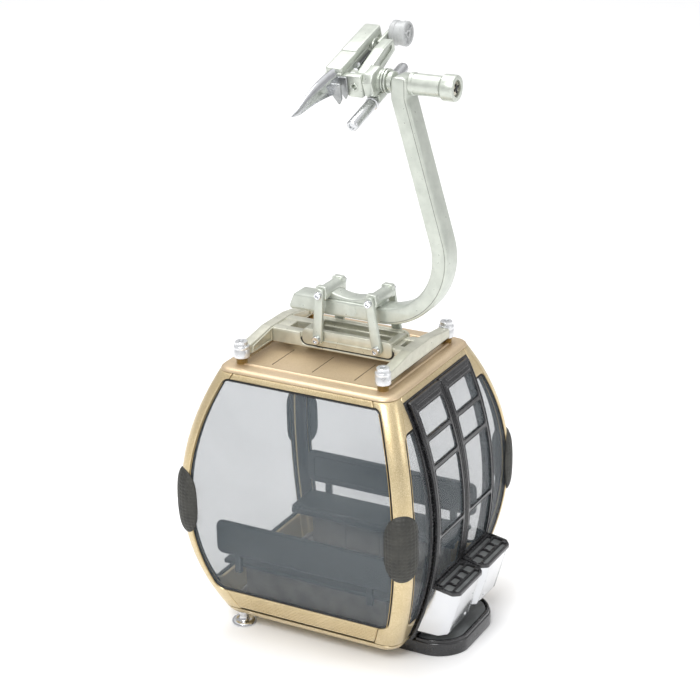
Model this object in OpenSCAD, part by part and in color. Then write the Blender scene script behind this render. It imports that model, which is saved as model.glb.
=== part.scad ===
// Scale model of an eight-seat gondola cabin, with its hanger arm and rope grip.
// X runs along the rope, -Y is the door side, +Z is up. Millimetres.

/* [Cabin body] */
// Length of the cabin at its belt, along the rope
cabin_l = 62; // [54:1:74]
// Width of the cabin at its belt
cabin_w = 66.4; // [56:0.1:80]
// Length of the roof at its edge
roof_l = 44; // [38:1:50]
// Width of the roof at its edge
roof_w = 48.8; // [42:0.1:56]
// Height of the roof above the surface the model stands on
roof_z = 73.2; // [62:0.1:88]
// Height of the belt, where the cabin is widest
belt_z = 38; // [34:1:44]
// Height of the cabin's underside
floor_z = 4; // [3:0.1:5]
// Wall of the castings
wall_t = 1.8; // [1.4:0.1:2.2]
// Radius of the upright corners
corner_r = 4.6; // [4:0.1:6]
// Thickness of the floor pan
floor_t = 1.8; // [1.5:0.1:2.2]
// Thickness of the roof panel
roof_t = 1.0; // [0.8:0.1:1.3]
// Width of a corner post beside a window
post_w = 3.8; // [3.2:0.1:4.6]
// Height of the lower panels
sill_h = 8.3; // [7:0.1:10]
// Height of the rails over the windows
header_h = 1.5; // [1.2:0.1:1.8]
// Length of the corner castings' arms under the roof edge
arm_l = 4.4; // [3.7:0.1:5.3]

/* [Glass] */
// Thickness of the panes
glass_t = 1.0; // [0.8:0.1:1.2]
// How far a pane lies behind the outer surface
glass_recess = 0.3; // [0.25:0.05:0.4]
// Clearance around a pane
glass_gap = 0.1; // [0.08:0.01:0.12]

/* [Doors] */
// Width of one door leaf
leaf_w = 16.2; // [14:0.1:18]
// Thickness of a door leaf
leaf_t = 0.9; // [0.8:0.1:1.2]
// Clearance between a leaf and the cabin's side
leaf_gap = 0.15; // [0.15:0.05:0.3]
// Gap between the two closed leaves
leaf_meet = 0.4; // [0.3:0.1:0.5]
// Width of a leaf's stiles and rails
stile_w = 1.7; // [1.4:0.1:2]
// Travel of one leaf
leaf_travel = 9; // [7:0.5:9.5]

/* [Ski racks] */
// Width of one rack along the cabin
rack_w = 15.6; // [13:0.1:15.8]
// Height of the rack's top
rack_top_z = 20; // [18:0.5:23]
// Height of the rack box
rack_h = 12.6; // [11:0.1:14.5]
// Reach of the rack's top edge from the cabin's middle
rack_reach = 39.3; // [38:0.1:43]
// Lean of the rack's outer face, outward at the top
rack_lean = 3.6; // [3:0.1:4.3]
// Tilt of the rack's top, higher at the cabin's side
rack_tilt = 10; // [6:1:14]
// Wall of the rack box
rack_t = 0.9; // [0.8:0.1:1.1]

/* [Hanger] */
// Width of the hanger arm along the rope
hanger_w = 6; // [5:0.1:7]
// Depth of the hanger arm's section
hanger_t = 4.3; // [3.6:0.1:5]
// Radius of the arm's bend, at its middle line
bend_r = 16.4; // [14:0.1:19]
// Lean of the arm's upright run
arm_lean = 16; // [14:1:18]
// Length of the arm's upright run
arm_run = 36; // [30:0.5:43]
// Gap between the roof and the hanger's lower beam
hanger_lift = 10.6; // [10.2:0.1:12.5]
// Radius of the pivot pin at the arm's head
pin_r = 1.2; // [1:0.1:1.3]
// Running clearance of a pin, on the radius
pin_gap = 0.05; // [0.04:0.01:0.08]

/* [Grip] */
// Pitch of the grip at rest, with the +X end up
grip_pitch = 17; // [0:1:20]
// Distance from the arm's middle to the rope's line
rope_offset = 15.5; // [14:0.1:18]
// Radius of the rope that the jaws hold
rope_r = 0.8; // [0.7:0.05:0.95]
// Radius of the lever's roller
roller_r = 3.1; // [2.6:0.1:3.6]
// Width of the lever's roller
roller_w = 4.2; // [3.5:0.1:5]
// Distance from the pivot to the roller
lever_l = 19; // [17:0.1:22]
// Length of the guide plate ahead of the pivot
guide_l = 16.5; // [14:0.1:19]
// Length of the pointed entry scoop
scoop_l = 21.3; // [16:0.1:24]

/* [Hidden] */
$fn = 96;

gold = "#c9a25b";
silver = "#c9ccc6";
chrome = "#e4e6e8";
black = "#17181a";
big = 400;
seat_gap = 0.05;

// The cabin's surfaces are arcs, upright at the belt.
function arc_r(sag, rise) = (sag * sag + rise * rise) / (2 * sag);
rise = max(roof_z - belt_z, belt_z - floor_z);
end_r = arc_r((cabin_l - roof_l) / 2, rise);
side_r = arc_r((cabin_w - roof_w) / 2, rise);
corner_cut = corner_r * (sqrt(2) - 1);
corner_half = (cabin_l + cabin_w) / 2 / sqrt(2) - corner_cut;
corner_arc = arc_r((cabin_l + cabin_w - roof_l - roof_w) / 2 / sqrt(2), rise);
// Half width of the cabin's side at height z
function side_at(z) = cabin_w / 2 - side_r + sqrt(side_r * side_r - (z - belt_z) * (z - belt_z));
function end_at(z) = cabin_l / 2 - end_r + sqrt(end_r * end_r - (z - belt_z) * (z - belt_z));

floor_top = floor_z + floor_t;
tray_inset = wall_t + 0.3;
tray_rim = 1.2;
tray_top = floor_top + 0.8;
head_top = roof_z - roof_t;
head_z = head_top - header_h;
sill_z = floor_z + sill_h;
seam_x = roof_l / 2 - arm_l;
seam_y = roof_w / 2 - arm_l;

// Door leaves and ski racks
leaf_x0 = leaf_meet / 2;
leaf_x1 = leaf_x0 + leaf_w;
leaf_z0 = floor_z + 0.9;
leaf_z1 = head_z - 0.2;
leaf_in = leaf_gap;
leaf_out = leaf_gap + leaf_t;
leaf_span = leaf_z1 - leaf_z0;
rack_x0 = leaf_x0 + (leaf_w - rack_w) / 2;
rack_foot_z = rack_top_z - rack_h;
grid_t = 0.8;
grid_lip = 0.25;
// Height of the rack's top at a distance y from the cabin's middle
function rack_top_at(y) = rack_top_z + (rack_reach - y) * tan(rack_tilt);
// Panes of a leaf as [lower edge, upper edge], shares of the leaf's height
PANES = [[0.27, 0.453], [0.47, 0.735], [0.753, 0.845], [0.862, 0.957]];

// Bumpers on the corners, at the belt
bumper_t = 1.1;
bumper_h = 18;
bumper_w = 8;
bumper_back = min(cabin_w / 2 + bumper_t, (corner_half + bumper_t + bumper_w / 2) / sqrt(2));

// The frame's origin lies under the middle of the whole model.
centre_y = (rack_reach + grid_lip - bumper_back) / 2;

// Roof gear
stem_x = seam_x - 0.2;
stem_y = seam_y;
stem_r = 1.5;
stem_h = 1.7;
beam_w = 3;
beam_z0 = roof_z + stem_h;
beam_z1 = beam_z0 + 2.8;
beam_mid = 1.3;
cross_x = 3;
cross_w = 2.2;
cross_z1 = beam_z0 + 3.6;
cradle_x = cross_x + cross_w / 2;
cradle_t = 0.9;
cradle_z0 = beam_z0 + 0.6;
cradle_z1 = beam_z0 + 5.1;
cradle_y0 = -16;
cradle_y1 = 9.7;
link_x = cradle_x + cradle_t + 0.1;
link_t = 1.1;
link_w = 2.4;
link_foot_z = beam_z0 + 3;
// The two pairs of links as [lower pin y, upper pin y]
LINKS = [[4.7, 3.8], [-12.2, -10.3]];

// Hanger arm
beam_low = roof_z + hanger_lift;
beam_mid_z = beam_low + hanger_t / 2;
beam_back = 14.8;
beam_slant = 1.8;
bend_y = -11.7;
bend_z = beam_mid_z + bend_r;
tube_r = 1.7;
saddle_h = 2.4;
tube_z = beam_low + hanger_t + tube_r + 0.2;
run_y0 = bend_y - bend_r * cos(arm_lean);
run_z0 = bend_z + bend_r * sin(arm_lean);
arm_y = run_y0 + arm_run * sin(arm_lean);
head_z0 = run_z0 + arm_run * cos(arm_lean) - 1.4;
pivot_z = head_z0 + 4.8;
head_h = 6.7;
sleeve_r = 2.6;
sleeve_l = 8.1;
cap_r = 3.2;
cap_l = 3.4;
collar_r = 2.75;

// Grip, in its own level frame: x along the rope, y across, z up from the pivot
rope_y = rope_offset;
rope_z = 1.7;
collar_y0 = hanger_t / 2 + 0.3;
grip_y0 = 6.5;
grip_y1 = rope_y - 2.2;
plate_y0 = rope_y - 2;
plate_y1 = rope_y + 2.5;
plate_z0 = 3.2;
plate_z1 = 5.2;
jaw_gap = 0.1;
lever_y0 = 9;
lever_y1 = 12;
lever_z = 1.8;
lever_w = 3.6;
lever_pin_r = 1;
rod_r = 1.45;
rod_y = lever_y0 - rod_r - 0.15;
rod_z = -4.3;
roller_y0 = lever_y1 - 0.05 - roller_w;
fork_t = 0.8;
axle_r = 0.8;

// Block between two arcs of radius r that bulge along x
module barrel(half, r, turn) {
    rotate([0, 0, turn])
        if (half <= r)
            intersection() {
                translate([half - r, 0, 0]) barrel_side(r);
                translate([r - half, 0, 0]) barrel_side(r);
            }
        else
            union() {
                translate([half - r, 0, 0]) barrel_side(r);
                translate([r - half, 0, 0]) barrel_side(r);
                block(r - half, half - r, -big / 2, big / 2, belt_z - r, belt_z + r);
            }
}

module barrel_side(r) {
    translate([0, big / 2, belt_z]) rotate([90, 0, 0]) cylinder(r = r, h = big);
}

module slab(z0, z1) {
    translate([-big / 2, -big / 2, z0]) cube([big, big, z1 - z0]);
}

module block(x0, x1, y0, y1, z0, z1) {
    translate([x0, y0, z0]) cube([x1 - x0, y1 - y0, z1 - z0]);
}

// The cabin's form moved inward by inset, between two heights
module cabin_form(inset, z0, z1) {
    intersection() {
        barrel(cabin_l / 2 - inset, end_r - inset, 0);
        barrel(cabin_w / 2 - inset, side_r - inset, 90);
        barrel(corner_half - inset, corner_arc - inset, 45);
        barrel(corner_half - inset, corner_arc - inset, 135);
        slab(z0, z1);
    }
}

module shell(outer, inner, z0, z1) {
    difference() {
        cabin_form(outer, z0, z1);
        cabin_form(inner, z0 - 1, z1 + 1);
    }
}

// Window openings through both ends and through both sides, smaller all round by gap
module end_opening(gap) {
    intersection() {
        barrel(cabin_w / 2 - post_w - gap, side_r - post_w - gap, 90);
        slab(sill_z + gap, head_z - gap);
    }
}

module side_opening(gap) {
    intersection() {
        barrel(cabin_l / 2 - post_w - gap, end_r - post_w - gap, 0);
        slab(sill_z + gap, head_z - gap);
    }
}

module both_x() {
    children();
    mirror([1, 0, 0]) children();
}

module both_y() {
    children();
    mirror([0, 1, 0]) children();
}

// Moves a piece from the cabin's middle to the model's frame
module placed() {
    translate([0, centre_y, 0]) children();
}

// Moves a piece from the grip's level frame to its pitched place on the arm's head
module on_grip() {
    placed() translate([0, arm_y, pivot_z]) rotate([0, -grip_pitch, 0]) children();
}

module across(r, y0, y1) {
    translate([0, y1, 0]) rotate([90, 0, 0]) cylinder(r = r, h = y1 - y0);
}

// ---- Cabin body ----

module floor_pan() {
    color(gold) placed() cabin_form(0, floor_z, floor_top);
}

module floor_tray() {
    color("#5c5148") placed() {
        shell(tray_inset, tray_inset + tray_rim, floor_top, floor_top + 1.6);
        cabin_form(tray_inset, floor_top, tray_top);
    }
}

module roof_panel() {
    bead_x = seam_x + 0.5;
    bead_y = seam_y + 1.1;
    bead_w = 1;
    bead_h = 0.3;
    color(gold) placed() {
        cabin_form(0, head_top, roof_z);
        difference() {
            block(-bead_x, bead_x, -bead_y, bead_y, roof_z - 0.1, roof_z + bead_h);
            block(bead_w - bead_x, bead_x - bead_w, bead_w - bead_y, bead_y - bead_w, roof_z - 1, roof_z + 1);
            both_x() both_y() translate([stem_x, stem_y, roof_z]) cylinder(r = stem_r + seat_gap, h = 1);
        }
    }
}

module corner_castings() {
    color(gold) placed() both_x() both_y() difference() {
        intersection() {
            shell(0, wall_t, floor_top, head_top);
            block(seam_x, big, seam_y, big, 0, big);
        }
        end_opening(0);
        side_opening(0);
    }
}

module end_headers() {
    color(gold) placed() both_x() intersection() {
        shell(0, wall_t, head_z, head_top);
        block(0, big, -seam_y, seam_y, 0, big);
    }
}

module side_headers() {
    color(gold) placed() both_y() intersection() {
        shell(0, wall_t, head_z, head_top);
        block(-seam_x, seam_x, 0, big, 0, big);
    }
}

module end_sills() {
    color(gold) placed() both_x() intersection() {
        shell(0, wall_t, floor_top, sill_z);
        block(0, big, -seam_y, seam_y, 0, big);
    }
}

module back_sill() {
    color(gold) placed() intersection() {
        shell(0, wall_t, floor_top, sill_z);
        block(-seam_x, seam_x, 0, big, 0, big);
    }
}

module end_windows() {
    color("#8fa0a8") placed() both_x() intersection() {
        shell(glass_recess, glass_recess + glass_t, sill_z + glass_gap, head_z - glass_gap);
        end_opening(glass_gap);
        block(cabin_l / 5, big, -big, big, 0, big);
    }
}

module back_window() {
    color("#8fa0a8") placed() intersection() {
        shell(glass_recess, glass_recess + glass_t, sill_z + glass_gap, head_z - glass_gap);
        side_opening(glass_gap);
        block(-big, big, cabin_w / 5, big, 0, big);
    }
}

module quarter_windows() {
    color("#8fa0a8") placed() both_x() intersection() {
        shell(glass_recess, glass_recess + glass_t, sill_z + glass_gap, head_z - glass_gap);
        side_opening(glass_gap);
        block(seam_x + glass_gap, big, -big, -cabin_w / 5, 0, big);
    }
}

module door_jambs() {
    jamb_w = 1;
    color(black) placed() both_x() intersection() {
        shell(0, wall_t, floor_top, head_z);
        block(seam_x - jamb_w, seam_x, -big, 0, 0, big);
    }
}

// Points of a quarter circle about [x, y] that starts at an angle
function quarter(x, y, r, start) = [for (i = [0 : 8]) [x + r * cos(start + i * 90 / 8), y + r * sin(start + i * 90 / 8)]];

module door_sill() {
    sill_x = 14;
    sill_y = 38;
    lip_w = 1.2;
    round_r = 5;
    bow_r = 62;
    back = side_at(floor_z) - 3.4;
    color(black) placed() difference() {
        intersection() {
            linear_extrude(height = floor_z + 0.5) polygon(concat(
                quarter(sill_x - round_r, round_r - sill_y, round_r, 270), [[sill_x, -back], [-sill_x, -back]],
                quarter(round_r - sill_x, round_r - sill_y, round_r, 180)));
            translate([0, bow_r - sill_y, 0]) cylinder(r = bow_r, h = big);
        }
        block(-big, big, -side_at(floor_z) - leaf_out - 0.5, big, floor_z, big);
        block(-big, big, -sill_y + lip_w, 0, floor_z, big);
        block(4 - sill_x, sill_x - 4, -sill_y + 4, -side_at(floor_z) - 3, -1, 2.4);
    }
}

module feet() {
    foot_x = 20;
    foot_y = 21.2;
    color(chrome) placed() both_x() translate([foot_x, foot_y, 0]) {
        cylinder(r = 3.3, h = 1.2);
        cylinder(r = 1.3, h = floor_z);
    }
}

module bumpers() {
    color("#22231f") placed() both_x() both_y() intersection() {
        shell(-bumper_t, -seat_gap, belt_z - bumper_h, belt_z + bumper_h);
        rotate([90, 0, 135]) linear_extrude(height = big) {
            translate([0, belt_z + (bumper_h - bumper_w) / 2]) circle(d = bumper_w);
            translate([0, belt_z - (bumper_h - bumper_w) / 2]) circle(d = bumper_w);
            translate([-bumper_w / 2, belt_z - (bumper_h - bumper_w) / 2]) square([bumper_w, bumper_h - bumper_w]);
        }
    }
}

// ---- Benches ----

seat_z0 = tray_top + 10.4;
seat_z1 = seat_z0 + 2.6;
seat_x0 = cabin_l / 2 - 19;
seat_x1 = cabin_l / 2 - 8;
seat_half = cabin_w / 2 - 8.5;

module seat_cushions() {
    color("#3c4248") placed() both_x() block(seat_x0, seat_x1, -seat_half, seat_half, seat_z0, seat_z1);
}

module seat_backs() {
    back_t = 1.6;
    color("#3c4248") placed() both_x() block(seat_x1, seat_x1 + back_t, -seat_half - 1, seat_half + 1,
        seat_z0, seat_z1 + 11.5);
}

module seat_pedestals() {
    outer = end_at(floor_top) - tray_inset - tray_rim - 1.2;
    half = side_at(floor_top) - tray_inset - tray_rim - 1.9;
    color("#33373b") placed() both_x() block(outer - 3, outer, -half, half, tray_top, seat_z0);
}

// ---- Doors, built on the +X side and mirrored for the left leaf ----

module leaf_skin(outer, inner) {
    difference() {
        barrel(cabin_w / 2 + outer, side_r + outer, 90);
        barrel(cabin_w / 2 + inner, side_r + inner, 90);
    }
}

module door_frame() {
    color(black) placed() difference() {
        intersection() {
            leaf_skin(leaf_out, leaf_in);
            block(leaf_x0, leaf_x1, -big, 0, leaf_z0, leaf_z1);
        }
        for (pane = PANES)
            block(leaf_x0 + stile_w, leaf_x1 - stile_w, -big, 0,
                leaf_z0 + pane[0] * leaf_span, leaf_z0 + pane[1] * leaf_span);
    }
}

module door_glass() {
    color("#8fa0a8") placed() intersection() {
        leaf_skin(leaf_out - 0.3, leaf_in + 0.1);
        union() for (pane = PANES)
            block(leaf_x0 + stile_w + seat_gap, leaf_x1 - stile_w - seat_gap, -big, 0,
                leaf_z0 + pane[0] * leaf_span + seat_gap, leaf_z0 + pane[1] * leaf_span - seat_gap);
    }
}

// Wedge of the ski rack, open at its top, smaller all round by inset
module rack_wedge(inset) {
    foot = rack_reach - rack_lean;
    slope = rack_lean / rack_h;
    top = rack_top_z + rack_h;
    intersection() {
        translate([rack_x0 + inset, 0, 0]) rotate([90, 0, 90]) linear_extrude(height = rack_w - 2 * inset)
            polygon([[-cabin_w / 4, rack_foot_z + inset], [-foot - slope * inset + inset, rack_foot_z + inset],
                [-foot - slope * (top - rack_foot_z) + inset, top], [-cabin_w / 4, top]]);
        difference() {
            slab(0, big);
            barrel(cabin_w / 2 + leaf_out + seat_gap + inset, side_r + leaf_out + seat_gap + inset, 90);
        }
    }
}

// Outline across the cabin, between two lines that run with the rack's tilted top
module rack_layer(y0, y1, low, high) {
    polygon([[-y0, rack_top_at(y0) + low], [-y1, rack_top_at(y1) + low],
        [-y1, rack_top_at(y1) + high], [-y0, rack_top_at(y0) + high]]);
}

module ski_rack() {
    color(silver) placed() intersection() {
        difference() {
            rack_wedge(0);
            rack_wedge(rack_t);
        }
        rotate([90, 0, 90]) linear_extrude(height = big) rack_layer(cabin_w / 4, rack_reach + 1, -big, 0);
    }
}

module rack_grid() {
    inner = side_at(rack_top_at(cabin_w / 2) + grid_t) + leaf_out + seat_gap + 0.1;
    outer = rack_reach + grid_lip;
    depth = outer - inner;
    slot_w = depth * 0.24;
    hole_w = depth * 0.16;
    color(black) placed() difference() {
        translate([rack_x0 - grid_lip, 0, 0]) rotate([90, 0, 90]) linear_extrude(height = rack_w + 2 * grid_lip)
            rack_layer(inner, outer, 0, grid_t);
        for (y = [-outer + depth * 0.12, -inner - depth * 0.12 - slot_w])
            block(rack_x0 + 1.4, rack_x0 + rack_w - 1.4, y, y + slot_w, 0, big);
        for (i = [0 : 3])
            block(rack_x0 + rack_w * (0.17 + 0.22 * i) - hole_w / 2, rack_x0 + rack_w * (0.17 + 0.22 * i) + hole_w / 2,
                -(outer + inner) / 2 - hole_w / 2, -(outer + inner) / 2 + hole_w / 2, 0, big);
    }
}

module door_frame_left() { mirror([1, 0, 0]) door_frame(); }
module door_frame_right() { door_frame(); }
module door_glass_left() { mirror([1, 0, 0]) door_glass(); }
module door_glass_right() { door_glass(); }
module ski_rack_left() { mirror([1, 0, 0]) ski_rack(); }
module ski_rack_right() { ski_rack(); }
module rack_grid_left() { mirror([1, 0, 0]) rack_grid(); }
module rack_grid_right() { rack_grid(); }

// ---- Roof gear ----

module roof_stems() {
    color(gold) placed() both_x() both_y() translate([stem_x, stem_y, roof_z]) cylinder(r = stem_r, h = stem_h);
}

module stem_caps() {
    color(chrome) placed() both_x() both_y() translate([stem_x, stem_y, beam_z1]) difference() {
        cylinder(r = 2, h = 1.4);
        translate([0, 0, 0.6]) cylinder(r = 0.7, h = 2);
    }
}

module roof_frame() {
    reach = stem_x + 2;
    color(silver) placed() {
        both_y() translate([0, stem_y + beam_w / 2, 0]) rotate([90, 0, 0]) linear_extrude(height = beam_w)
            polygon([[-reach, beam_z0], [reach, beam_z0], [reach, beam_z1], [12, beam_z1],
                [5, beam_z1 + beam_mid], [-5, beam_z1 + beam_mid], [-12, beam_z1], [-reach, beam_z1]]);
        both_x() block(cross_x - cross_w / 2, cross_x + cross_w / 2, -stem_y, stem_y, beam_z0, cross_z1);
    }
}

module cradle() {
    round_r = 2;
    depth = cradle_z1 - cradle_z0;
    color(silver) placed() {
        both_x() translate([cradle_x, 0, 0]) rotate([90, 0, 90]) linear_extrude(height = cradle_t) {
            translate([cradle_y0 + round_r, cradle_z0]) square([cradle_y1 - cradle_y0 - 2 * round_r, depth]);
            translate([cradle_y0, cradle_z0 + round_r]) square([cradle_y1 - cradle_y0, depth - round_r]);
            translate([cradle_y0 + round_r, cradle_z0 + round_r]) circle(r = round_r);
            translate([cradle_y1 - round_r, cradle_z0 + round_r]) circle(r = round_r);
        }
        for (y = [cradle_y0, cradle_y1 - 2.5])
            block(-cradle_x - 0.1, cradle_x + 0.1, y, y + 2.5, cradle_z1 - 1, cradle_z1);
    }
}

// Bar with round ends between two points of the YZ plane
module bar(y0, z0, y1, z1, w) {
    length = norm([y1 - y0, z1 - z0]);
    translate([y0, z0]) rotate(atan2(z1 - z0, y1 - y0)) {
        translate([0, -w / 2]) square([length, w]);
        circle(d = w);
        translate([length, 0]) circle(d = w);
    }
}

module link_bars() {
    color(silver) placed() both_x() for (link = LINKS)
        translate([link_x, 0, 0]) rotate([90, 0, 90]) linear_extrude(height = link_t)
            bar(link[0], link_foot_z, link[1], tube_z, link_w);
}

module cross_tubes() {
    half = link_x;
    color(silver) placed() for (link = LINKS)
        translate([-half, link[1], tube_z]) rotate([0, 90, 0]) cylinder(r = tube_r, h = 2 * half);
}

module link_bolts() {
    head_r = 1.3;
    head_h = 0.9;
    color(chrome) placed() both_x() for (link = LINKS) {
        translate([link_x + link_t, link[0], link_foot_z]) rotate([0, 90, 0]) cylinder(r = head_r, h = head_h);
        translate([link_x + link_t, link[1], tube_z]) rotate([0, 90, 0]) cylinder(r = head_r, h = head_h);
    }
}

module saddle() {
    half = 2.4;
    y0 = bend_y;
    y1 = LINKS[0][1] + tube_r + 0.8;
    dish_r = 14;
    color(silver) placed() difference() {
        block(-half, half, y0, y1, beam_low + hanger_t, beam_low + hanger_t + saddle_h);
        for (link = LINKS)
            translate([-half - 1, link[1], tube_z]) rotate([0, 90, 0]) cylinder(r = tube_r + 0.02, h = 2 * half + 2);
        translate([-half - 1, (y0 + y1) / 2, beam_low + hanger_t + 1 + dish_r]) rotate([0, 90, 0])
            cylinder(r = dish_r, h = 2 * half + 2);
    }
}

// ---- Hanger arm ----

module arm_profile() {
    outer = bend_r + hanger_t / 2;
    inner = bend_r - hanger_t / 2;
    polygon([[bend_y, beam_low], [beam_back, beam_low], [beam_back - beam_slant, beam_low + hanger_t],
        [bend_y, beam_low + hanger_t]]);
    intersection() {
        translate([bend_y, bend_z]) difference() {
            circle(r = outer);
            circle(r = inner);
        }
        polygon([[bend_y, bend_z], [bend_y, bend_z - 2 * outer], [bend_y - 2 * outer, bend_z - 2 * outer],
            [bend_y - 2 * outer * cos(arm_lean), bend_z + 2 * outer * sin(arm_lean)]]);
    }
    translate([run_y0, run_z0]) rotate(-arm_lean) translate([-hanger_t / 2, 0]) square([hanger_t, arm_run]);
    translate([arm_y - hanger_t / 2, head_z0]) square([hanger_t, head_h]);
}

module hanger_arm() {
    color(silver) placed() difference() {
        translate([-hanger_w / 2, 0, 0]) rotate([90, 0, 90]) linear_extrude(height = hanger_w) arm_profile();
        translate([0, 0, pivot_z]) across(pin_r + pin_gap, arm_y - hanger_t, arm_y + hanger_t);
    }
}

module axle_sleeve() {
    color(silver) placed() translate([0, arm_y - hanger_t / 2, pivot_z]) difference() {
        across(sleeve_r, -sleeve_l, 0);
        across(pin_r + pin_gap, -sleeve_l - 1, 1);
    }
}

// ---- Grip ----

module grip_pin() {
    color(chrome) on_grip() across(pin_r, -hanger_t / 2 - sleeve_l - 0.3, collar_y0);
}

module axle_cap() {
    y1 = -hanger_t / 2 - sleeve_l - 0.3;
    color(chrome) on_grip() across(cap_r, y1 - cap_l, y1);
}

module grip_body() {
    head_x0 = -5;
    head_x1 = 2;
    wing_t = 1.8;
    color(silver) on_grip() {
        across(collar_r, collar_y0, grip_y0);
        block(head_x0, head_x1, grip_y0 - 0.5, lever_y0 - 0.3, -2.5, 3.5);
        difference() {
            block(head_x0, head_x0 + wing_t, lever_y0 - 0.4, plate_y0 + 0.1, -2.5, plate_z0);
            translate([head_x0 - 1, lever_y0 + 1.5, 0.4]) rotate([0, 90, 0]) cylinder(r = 0.7, h = wing_t + 2);
        }
        difference() {
            block(head_x0, 9, plate_y0, plate_y1 - 0.7, rope_z + jaw_gap, plate_z0);
            translate([head_x0 - 1, rope_y, rope_z]) rotate([0, 90, 0]) cylinder(r = rope_r, h = big);
        }
        difference() {
            block(-3, 1, rod_y - rod_r - 0.6, rod_y + rod_r + 0.6, rod_z, -2.4);
            translate([-4, rod_y, rod_z]) rotate([0, 90, 0]) cylinder(r = rod_r + 0.02, h = 6);
        }
        across(lever_pin_r, lever_y0 - 0.4, lever_y1 + 0.3);
        across(lever_pin_r + 0.6, lever_y1 + 0.2, lever_y1 + 0.8);
    }
}

module guide_plate() {
    color(silver) on_grip() block(-5, guide_l, plate_y0, plate_y1, plate_z0, plate_z1);
}

// Side view of the scoop: its top runs on from the guide plate, and its lower edge rises to the point
module scoop_side(drop) {
    tip_x = -5 - scoop_l;
    top_z = plate_z1 - drop;
    translate([0, big / 2, 0]) rotate([90, 0, 0]) linear_extrude(height = big)
        polygon([[-5 + drop, top_z], [tip_x, top_z - 0.3], [tip_x, top_z - 0.9], [-9, plate_z1 - 5 - 3 * drop],
            [-5 + drop, plate_z0 - 1 - 3 * drop]]);
}

// Plan view of the scoop: straight past the rope flanges, then narrowing to the point
module scoop_plan(wall) {
    tip_x = -5 - scoop_l;
    y0 = rope_y - 1.4 + wall;
    y1 = rope_y + 1.8 - wall;
    tip_y = (y0 + y1) / 2;
    tip_half = max(0.4 - wall, 0.05);
    translate([0, 0, -big / 2]) linear_extrude(height = big)
        polygon([[-4, y0], [-9.8, y0], [tip_x, tip_y - tip_half], [tip_x, tip_y + tip_half], [-9.8, y1], [-4, y1]]);
}

module entry_scoop() {
    skin = 0.6;
    color(chrome) on_grip() difference() {
        intersection() {
            scoop_side(0);
            scoop_plan(0);
        }
        intersection() {
            scoop_side(skin);
            scoop_plan(skin);
        }
    }
}

module rope_flanges() {
    color(chrome) on_grip() for (x = [-5.9, -9.2])
        translate([x, 0, 0]) rotate([90, 0, 90]) linear_extrude(height = 0.8)
            polygon([[plate_y0 - 1.5, plate_z0], [plate_y0 + 0.6, plate_z0], [plate_y0 + 0.4, 0], [plate_y0 - 0.8, -3]]);
}

module spring_rod() {
    color(silver) on_grip() translate([-14.6, rod_y, rod_z]) rotate([0, 90, 0]) cylinder(r = rod_r, h = 28.9);
}

module jaw_lever() {
    bar_x1 = lever_l - roller_r - lever_w / 2 - 0.4;
    color(silver) on_grip() difference() {
        union() {
            translate([0, lever_y1, 0]) rotate([90, 0, 0]) linear_extrude(height = lever_y1 - lever_y0)
                bar(0, 0, bar_x1, lever_z, lever_w);
            translate([0, lever_y1 + fork_t, 0]) rotate([90, 0, 0]) linear_extrude(height = fork_t)
                bar(bar_x1 - 1.5, lever_z, lever_l, lever_z, 2.6);
            block(3, 7, lever_y1 - 0.5, rope_y + 1.2, -0.8, rope_z - jaw_gap);
        }
        across(lever_pin_r + pin_gap, lever_y0 - 1, lever_y1 + 1);
        translate([0, rope_y, rope_z]) rotate([0, 90, 0]) cylinder(r = rope_r, h = big);
        translate([lever_l, 0, lever_z]) across(axle_r + pin_gap, lever_y0 - 2, lever_y1 + 2);
    }
}

module roller() {
    color("#d8dad6") on_grip() translate([lever_l, 0, lever_z]) {
        across(roller_r, roller_y0, roller_y0 + roller_w);
        across(axle_r, roller_y0, lever_y1 + fork_t + 0.2);
    }
}

floor_pan();
floor_tray();
roof_panel();
corner_castings();
end_headers();
side_headers();
end_sills();
back_sill();
end_windows();
back_window();
quarter_windows();
door_jambs();
door_sill();
feet();
bumpers();
seat_cushions();
seat_backs();
seat_pedestals();
door_frame_left();
door_frame_right();
door_glass_left();
door_glass_right();
ski_rack_left();
ski_rack_right();
rack_grid_left();
rack_grid_right();
roof_stems();
roof_frame();
stem_caps();
cradle();
link_bars();
cross_tubes();
link_bolts();
saddle();
hanger_arm();
axle_sleeve();
grip_body();
grip_pin();
axle_cap();
guide_plate();
entry_scoop();
rope_flanges();
spring_rod();
jaw_lever();
roller();
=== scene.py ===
"""Gondola cabin model: the looks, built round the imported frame. Sizes in the code are millimetres."""
import math
import bmesh
import bpy
from mathutils import Matrix, Vector
from mathutils.geometry import tessellate_polygon


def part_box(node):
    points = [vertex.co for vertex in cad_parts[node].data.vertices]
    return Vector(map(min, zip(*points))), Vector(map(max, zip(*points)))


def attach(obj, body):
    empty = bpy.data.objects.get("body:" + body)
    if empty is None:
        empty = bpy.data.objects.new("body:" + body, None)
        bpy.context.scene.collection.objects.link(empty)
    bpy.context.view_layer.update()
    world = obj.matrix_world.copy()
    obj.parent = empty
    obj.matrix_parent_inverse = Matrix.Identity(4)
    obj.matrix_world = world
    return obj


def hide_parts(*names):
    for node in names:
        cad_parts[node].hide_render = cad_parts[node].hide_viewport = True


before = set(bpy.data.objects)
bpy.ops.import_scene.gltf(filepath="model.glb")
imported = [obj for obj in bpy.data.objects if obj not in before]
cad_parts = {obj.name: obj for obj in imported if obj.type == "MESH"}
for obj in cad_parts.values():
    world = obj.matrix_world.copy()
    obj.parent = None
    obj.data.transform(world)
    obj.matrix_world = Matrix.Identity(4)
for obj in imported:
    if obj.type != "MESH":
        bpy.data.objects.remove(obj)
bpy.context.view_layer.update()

MM = 0.001
MATERIAL = {}


# ---- Sizes read from the frame ----

def low(node, axis):
    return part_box(node)[0][axis] / MM


def high(node, axis):
    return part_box(node)[1][axis] / MM


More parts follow.
